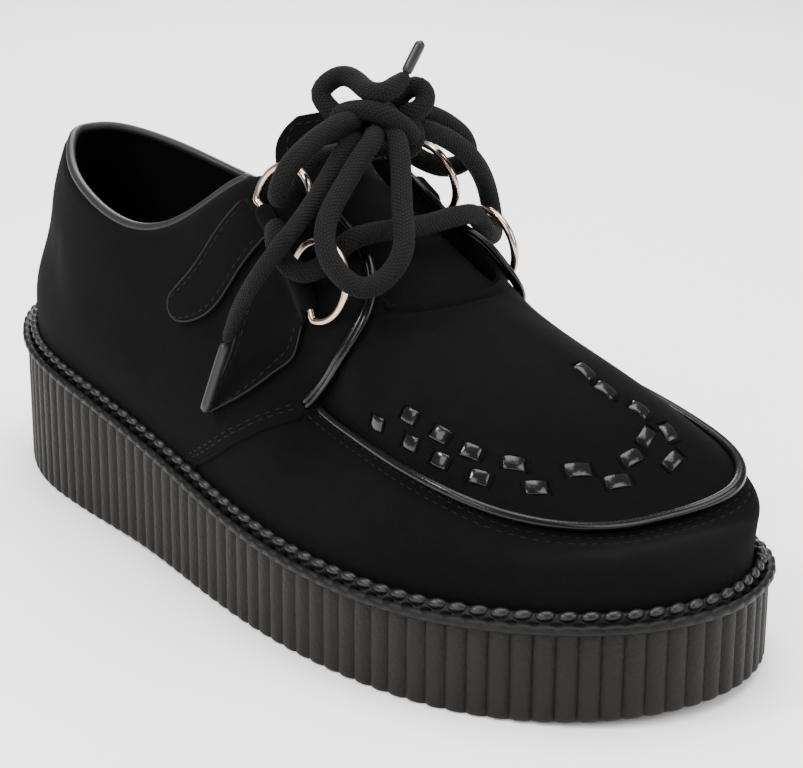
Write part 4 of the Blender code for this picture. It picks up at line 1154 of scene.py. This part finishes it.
def seam_row(mesh, points, pitch, length=2.0, width=0.45):
    """Adds stitches along a list of points in the open."""
    arc = np.concatenate([[0], np.cumsum(np.linalg.norm(np.diff(points, axis=0), axis=1))])
    count = max(2, int(arc[-1] / pitch))
    for at in (np.arange(count) + 0.5) * arc[-1] / count:
        place = np.array([np.interp(at, arc, points[:, i]) for i in range(3)])
        ahead = np.array([np.interp(at + 0.6, arc, points[:, i]) for i in range(3)]) - place
        turn = Vector(ahead).to_track_quat("X", "Z").to_matrix().to_4x4()
        size = Matrix.Diagonal((length / 2 * MM, width / 2 * MM, width / 2 * MM, 1.0))
        bmesh.ops.create_uvsphere(
            mesh, u_segments=8, v_segments=6, radius=1.0,
            matrix=Matrix.Translation(Vector(place) * MM) @ turn @ size,
        )


def tab_sheet(tab, medial):
    """Function for a tab's outer face: u across it and v from its tip to the ring's sleeve."""
    centre, reach, bar = ring_frame(tab, medial)
    axis = centre - reach * RING_FLAT
    edges = []
    for key in ("back", "front"):
        edges.append(np.array([(LAST.find(x, t, medial), t) for x, t in tab[key]]))
    knots = np.linspace(0, 1, len(edges[0]))
    lap = 0.86
    normal = np.cross(bar, reach)
    normal = normal * (1.0 if (normal[1] > 0) == medial else -1.0)

    def place(u, v):
        share = np.clip(v / lap, 0, 1)
        back = spline(knots, edges[0], share)
        front = spline(knots, edges[1], share)
        round_tip = np.sqrt(np.clip(1 - (1 - np.clip(share / 0.06, 0, 1)) ** 2, 0.0, 1))
        spot = back + (front - back) * (0.5 + (u - 0.5) * round_tip)[:, None]
        out, _ = LAST.frame(spot[:, 0], spot[:, 1])
        points = LAST.at(spot[:, 0], spot[:, 1]) + out * (relief(spot[:, 0], spot[:, 1]) + TAB_LIFT + TAB_THICKNESS)[:, None]
        held = axis + np.outer((u * 2 - 1) * (SLEEVE_LENGTH / 2 - 0.2), bar) - reach * 1.2 + normal * (SLEEVE_BORE + 0.7)
        away = np.clip((v - lap) / (1 - lap), 0, 1)[:, None]
        return points + (held - points) * away

    return place, axis, bar, reach, normal


def make_tabs():
    for height, tab in TABS.items():
        for side, medial in (("lateral", False), ("medial", True)):
            place, axis, bar, reach, normal = tab_sheet(tab, medial)
            mesh = faces_out(spread(16, 36, place, (20.0, 40.0)))
            sign = 1.0 if medial else -1.0
            if sum(face.normal.y for face in mesh.faces) * sign < 0:
                bmesh.ops.reverse_faces(mesh, faces=mesh.faces)
            name = f"tab_{height}_{side}"
            made = piece("lace_" + name, mesh, "suede", (name,), 180.0)
            down = np.linspace(0.85, 0.004, 36)
            rim = place(np.repeat((0.0, 1.0), 36), np.concatenate([down, down[::-1]]))
            piece("rim_" + name, cord_mesh(evenly(rim, 1.2), 0.3, 8), "cut_edge", smooth=180.0)
            wall = made.modifiers.new("thickness", "SOLIDIFY")
            wall.thickness = TAB_THICKNESS * MM
            wall.offset = -1.0
            edge = made.modifiers.new("edge", "BEVEL")
            edge.width = 0.35 * MM
            edge.segments = 2
            edge.limit_method = "ANGLE"
            edge.angle_limit = math.radians(50)
            rim = [axis + bar * SLEEVE_LENGTH * share for share in np.linspace(-0.5, 0.5, 16)]
            piece("sleeve_" + name, cord_mesh(rim, SLEEVE_BORE + SLEEVE_WALL, 16), "suede", smooth=180.0)
            mesh = bmesh.new()
            for u in (0.12, 0.88):
                v = np.linspace(0.07, 0.80, 50)
                stitch_points = place(np.full(50, u), v)
                seam_row(mesh, stitch_points, 2.8)
            piece("stitching_" + name, mesh, "thread", smooth=180.0)


def make_rings():
    for height, tab in TABS.items():
        for side, medial in (("lateral", False), ("medial", True)):
            centre, reach, bar = ring_frame(tab, medial)
            open_angle = math.acos(RING_FLAT / RING_RADIUS)
            angles = np.linspace(-math.pi + open_angle, math.pi - open_angle, 40)
            arc = [centre + RING_RADIUS * (reach * math.cos(a) + bar * math.sin(a)) for a in angles]
            flat = [arc[-1] + (arc[0] - arc[-1]) * share for share in np.linspace(0.14, 0.86, 7)]
            name = f"ring_{height}_{side}"
            points = closed_route(arc + flat, 0.9)
            piece("nickel_" + name, cord_mesh(points, RING_WIRE, 14, closed=True), "nickel", (name,), 180.0)


def into_knot(point, depth=6.0):
    """A point further along from a lace's end into the knot."""
    way = np.array(KNOT_CENTRE) - point
    return np.array(point) + way / np.linalg.norm(way) * min(depth, np.linalg.norm(way) * 0.7)


def make_laces():
    """Round braided laces: the crossings, the bow's front loop and both ends with their tips, and the knot."""
    radius = LACE_DIAMETER / 2
    bar = both_sides(LACE_BAR_NEAR, LACE_BAR_FAR)
    bar.append(into_knot(bar[-1]))
    top = both_sides(LACE_TOP_HALF[1:], LACE_TOP_HALF)
    top = [into_knot(top[0])] + top + [into_knot(top[-1])]
    piece("lace_crossing", cord_mesh(evenly(bar, 1.4), radius, 20), "lace", ("lace_bar",), 180.0)
    piece("lace_upper_crossing", cord_mesh(evenly(top, 1.4), radius, 20), "lace", ("lace_top",), 180.0)
    tips = {}
    for name, ends in AGLETS.items():
        start = np.array(ends[0]) - (np.array(ends[1]) - ends[0]) / np.linalg.norm(np.array(ends[1]) - ends[0]) * 1.6
        points = evenly(np.array([start, (start + ends[1]) / 2, ends[1]]), 0.8)
        tips[name] = piece("tip_" + name, cord_mesh(points, AGLET_RADIUS, 16), "aglet", (name,), 180.0)
    far_ends = {
        "lace_loop_front": ("object", [], None),
        "lace_end_short": ("fitting", [tips["aglet_short"]], lambda share: np.interp(share, (0, 0.88, 1), (1, 1, 0.6))),
        "lace_end_long": ("fitting", [tips["aglet_long"]], lambda share: np.interp(share, (0, 0.5, 0.85, 1), (0.94, 0.86, 0.76, 0.56))),
    }
    knot = make_knot()
    for name, points in CORDS.items():
        far_end, on_it, taper = far_ends[name]
        points = [into_knot(points[0])] + list(points)
        if name == "lace_loop_front":
            points.append(into_knot(points[-1]))
        line = evenly(points, 1.4)
        made = piece("bow_" + name, cord_mesh(line, radius, 20, taper=taper), "lace", (name,), 180.0)
        if name == "lace_loop_front":
            on_it = [knot]


def make_knot():
    """The bow's knot: two turns round its middle, with the strands that wrap and leave it laid over them."""
    middle = np.array(KNOT_CENTRE)
    lean = math.radians(KNOT_LEAN)
    ahead = np.array([math.cos(lean), 0.0, -math.sin(lean)])
    up = np.array([math.sin(lean), 0.0, math.cos(lean)])
    whole = bmesh.new()
    whole.loops.layers.uv.new("UVMap")
    strands = []
    for shift, wide, tall, slant in KNOT_TURNS:
        angles = np.arange(40) * 2 * math.pi / 40
        ring = [
            middle + np.array([0.0, shift + slant * math.sin(a), 0.0]) + ahead * wide * math.cos(a) + up * tall * math.sin(a)
            for a in angles
        ]
        strands.append(cord_mesh(closed_route(ring, 1.2), LACE_DIAMETER / 2 * 0.95, 18, closed=True))
    for points in KNOT_STRANDS.values():
        strands.append(cord_mesh(evenly(points, 1.2), LACE_DIAMETER / 2, 18))
    for strand in strands:
        data = bpy.data.meshes.new("strand")
        strand.to_mesh(data)
        strand.free()
        whole.from_mesh(data)
        bpy.data.meshes.remove(data)
    return piece("bow_knot", whole, "lace", ("lace_knot",), 180.0)


# Sole


def rib_share(s, ribs):
    """0 in the groove between two ribs and 1 on the crown of a rib."""
    phase = np.mod(s * ribs - 0.0, 1.0)
    groove = np.abs(phase - 0.0)
    groove = np.minimum(groove, 1 - groove)
    return np.sin(math.pi * np.clip(groove / 0.42, 0, 1) / 2) ** 0.8


def make_outsole():
    """Wedge with soft upright ribs round its side and a rounded foot, its underside and top closed with filled faces.
    """
    ribs = round(OUTLINE.length / RIB_PITCH / 2) * 2
    columns = ribs * 8
    levels = np.array([0.0, 0.012, 0.03, 0.06, 0.12, 0.2, 0.3, 0.4, 0.5, 0.6, 0.7, 0.8, 0.88, 0.94, 0.975, 1.0])
    rows = len(levels) - 1
    s = np.arange(columns) / columns
    crown = rib_share(s, ribs)
    bottom = sole_offset(s, np.zeros(columns), 0.0)
    ground = ground_height(bottom[:, 0], bottom[:, 1])
    grid = []
    for level in levels:
        top = np.clip((level - 0.88) / 0.12, 0, 1)
        foot = np.clip(1 - level / 0.05, 0, 1)
        depth = -RIB_DEPTH * (1 - crown) * (1 - foot ** 2 * 0.3) - EDGE_CHAMFER * foot ** 2 - 0.25 * top ** 2
        row = sole_offset(s, depth, 0.0)
        row[:, 2] = ground + (row[:, 2] - ground) * level
        grid.append(row)
    grid = np.array(grid)

    def place(u, v):
        return grid[np.rint(v * rows).astype(int), np.rint(u * columns).astype(int) % columns]

    mesh = spread(columns, rows, place, (columns / 8.0, 40.0))
    for edges_at_top in (False, True):
        edges = [e for e in mesh.edges if e.is_boundary]
        middle_z = 0.012
        loop = [e for e in edges if (e.verts[0].co.z > middle_z) == edges_at_top]
        made = bmesh.ops.extrude_edge_only(mesh, edges=loop)
        verts = [v for v in made["geom"] if isinstance(v, bmesh.types.BMVert)]
        for vert in verts:
            vert.co.x *= 0.985
            vert.co.y = vert.co.y * 0.95
            if not edges_at_top:
                vert.co.z = float(ground_height(vert.co.x / MM, vert.co.y / MM)) * MM
        rim = [e for e in mesh.edges if e.is_boundary and (e.verts[0].co.z > middle_z) == edges_at_top]
        bmesh.ops.triangle_fill(mesh, use_beauty=True, edges=rim)
    faces_out(mesh)
    piece("outsole_ribbed", mesh, "rubber", ("outsole",), 60.0)


def make_welt():
    """Scalloped lip, channel and seat of the welt, with one notch and one bead for each rib. Each notch is a dark blob
    of painted shade, and the beads take a lighter copy of the welt's rubber as a painted highlight.
    """
    ribs = round(OUTLINE.length / RIB_PITCH / 2) * 2
    columns = ribs * 8
    profile = np.array(WELT_PROFILE)
    s = np.arange(columns) / columns
    phase = np.mod(s * ribs, 1.0)
    scallop = np.abs(np.sin(math.pi * phase)) ** 0.7
    grid = []
    for out, up in WELT_PROFILE:
        lip = 1.0 if out > -0.5 and up > 0.5 else 0.0
        channel = 1.0 if -1.8 < out < -0.8 and up < 2.2 else 0.0
        bead = 1.0 if -3.0 < out < -1.8 and up > 3.5 else 0.0
        outward = out + lip * 0.35 * (scallop - 1.0)
        upward = up + lip * (up > 1.0) * 0.40 * (scallop - 1.0) - channel * 0.7 * (1 - scallop) + bead * 0.2 * (scallop - 0.5)
        grid.append(sole_offset(s, outward, 0.0) + np.stack([0 * s, 0 * s, upward], -1))
    grid.append(grid[0])
    grid = np.array(grid)
    rows = len(grid) - 1

    def place(u, v):
        return grid[np.rint(v * rows).astype(int), np.rint(u * columns).astype(int) % columns]

    mesh = faces_out(spread(columns, rows, place, (columns / 8.0, 6.0)))
    welt = piece("welt_strip", mesh, "welt_rubber", ("welt",), 180.0)
    # Beads in the lighter bead material, a painted highlight
    mesh = bmesh.new()
    for rib in range(ribs):
        share = (rib + 0.5) / ribs
        for out, up, length, wide, tall, lean in ((-2.3, 4.05, 5.2, 1.35, 1.35, 0.24),):
            place_at, ahead_at = sole_offset(np.array([share, share + 0.0005]), np.full(2, out), up)
            ahead = Vector(ahead_at - place_at).normalized()
            side = Vector((0, 0, 1)).cross(ahead).normalized()
            ahead = (ahead + side * lean).normalized()
            side = Vector((0, 0, 1)).cross(ahead).normalized()
            turn = Matrix((ahead * length / 2 * MM, side * wide * MM, Vector((0, 0, tall * MM)))).transposed()
            bmesh.ops.create_uvsphere(
                mesh, u_segments=10, v_segments=6, radius=1.0,
                matrix=Matrix.Translation(Vector(place_at) * MM) @ turn.to_4x4(),
            )
    piece("welt_stitches", mesh, "welt_bead_painted_highlight", smooth=180.0)
    # Notches: dark blobs in the lining's colour, painted shade in the channel
    mesh = bmesh.new()
    for rib in range(ribs):
        share = rib / ribs
        place_at, ahead_at = sole_offset(np.array([share, share + 0.0005]), np.full(2, -1.35), 2.35)
        ahead = Vector(ahead_at - place_at).normalized()
        side = Vector((0, 0, 1)).cross(ahead).normalized()
        turn = Matrix((ahead * 1.5 * MM, side * 1.0 * MM, Vector((0, 0, 0.55 * MM)))).transposed()
        bmesh.ops.create_uvsphere(
            mesh, u_segments=12, v_segments=6, radius=1.0,
            matrix=Matrix.Translation(Vector(place_at) * MM) @ turn.to_4x4(),
        )
    piece("welt_notch_shade", mesh, "lining", smooth=180.0)


def dress_solids():
    """The insole keeps its solid, with a better finish."""
    for name, material in (("insole", "board"),):
        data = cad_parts[name].data
        data.materials.clear()
        data.materials.append(MATERIALS[material])


add_camera()
add_lights()
make_laces()
make_upper()
make_quarter_edges()
make_piping()
make_stitching()
make_strips()
make_tongue()
make_tabs()
make_rings()
make_outsole()
make_welt()
dress_solids()
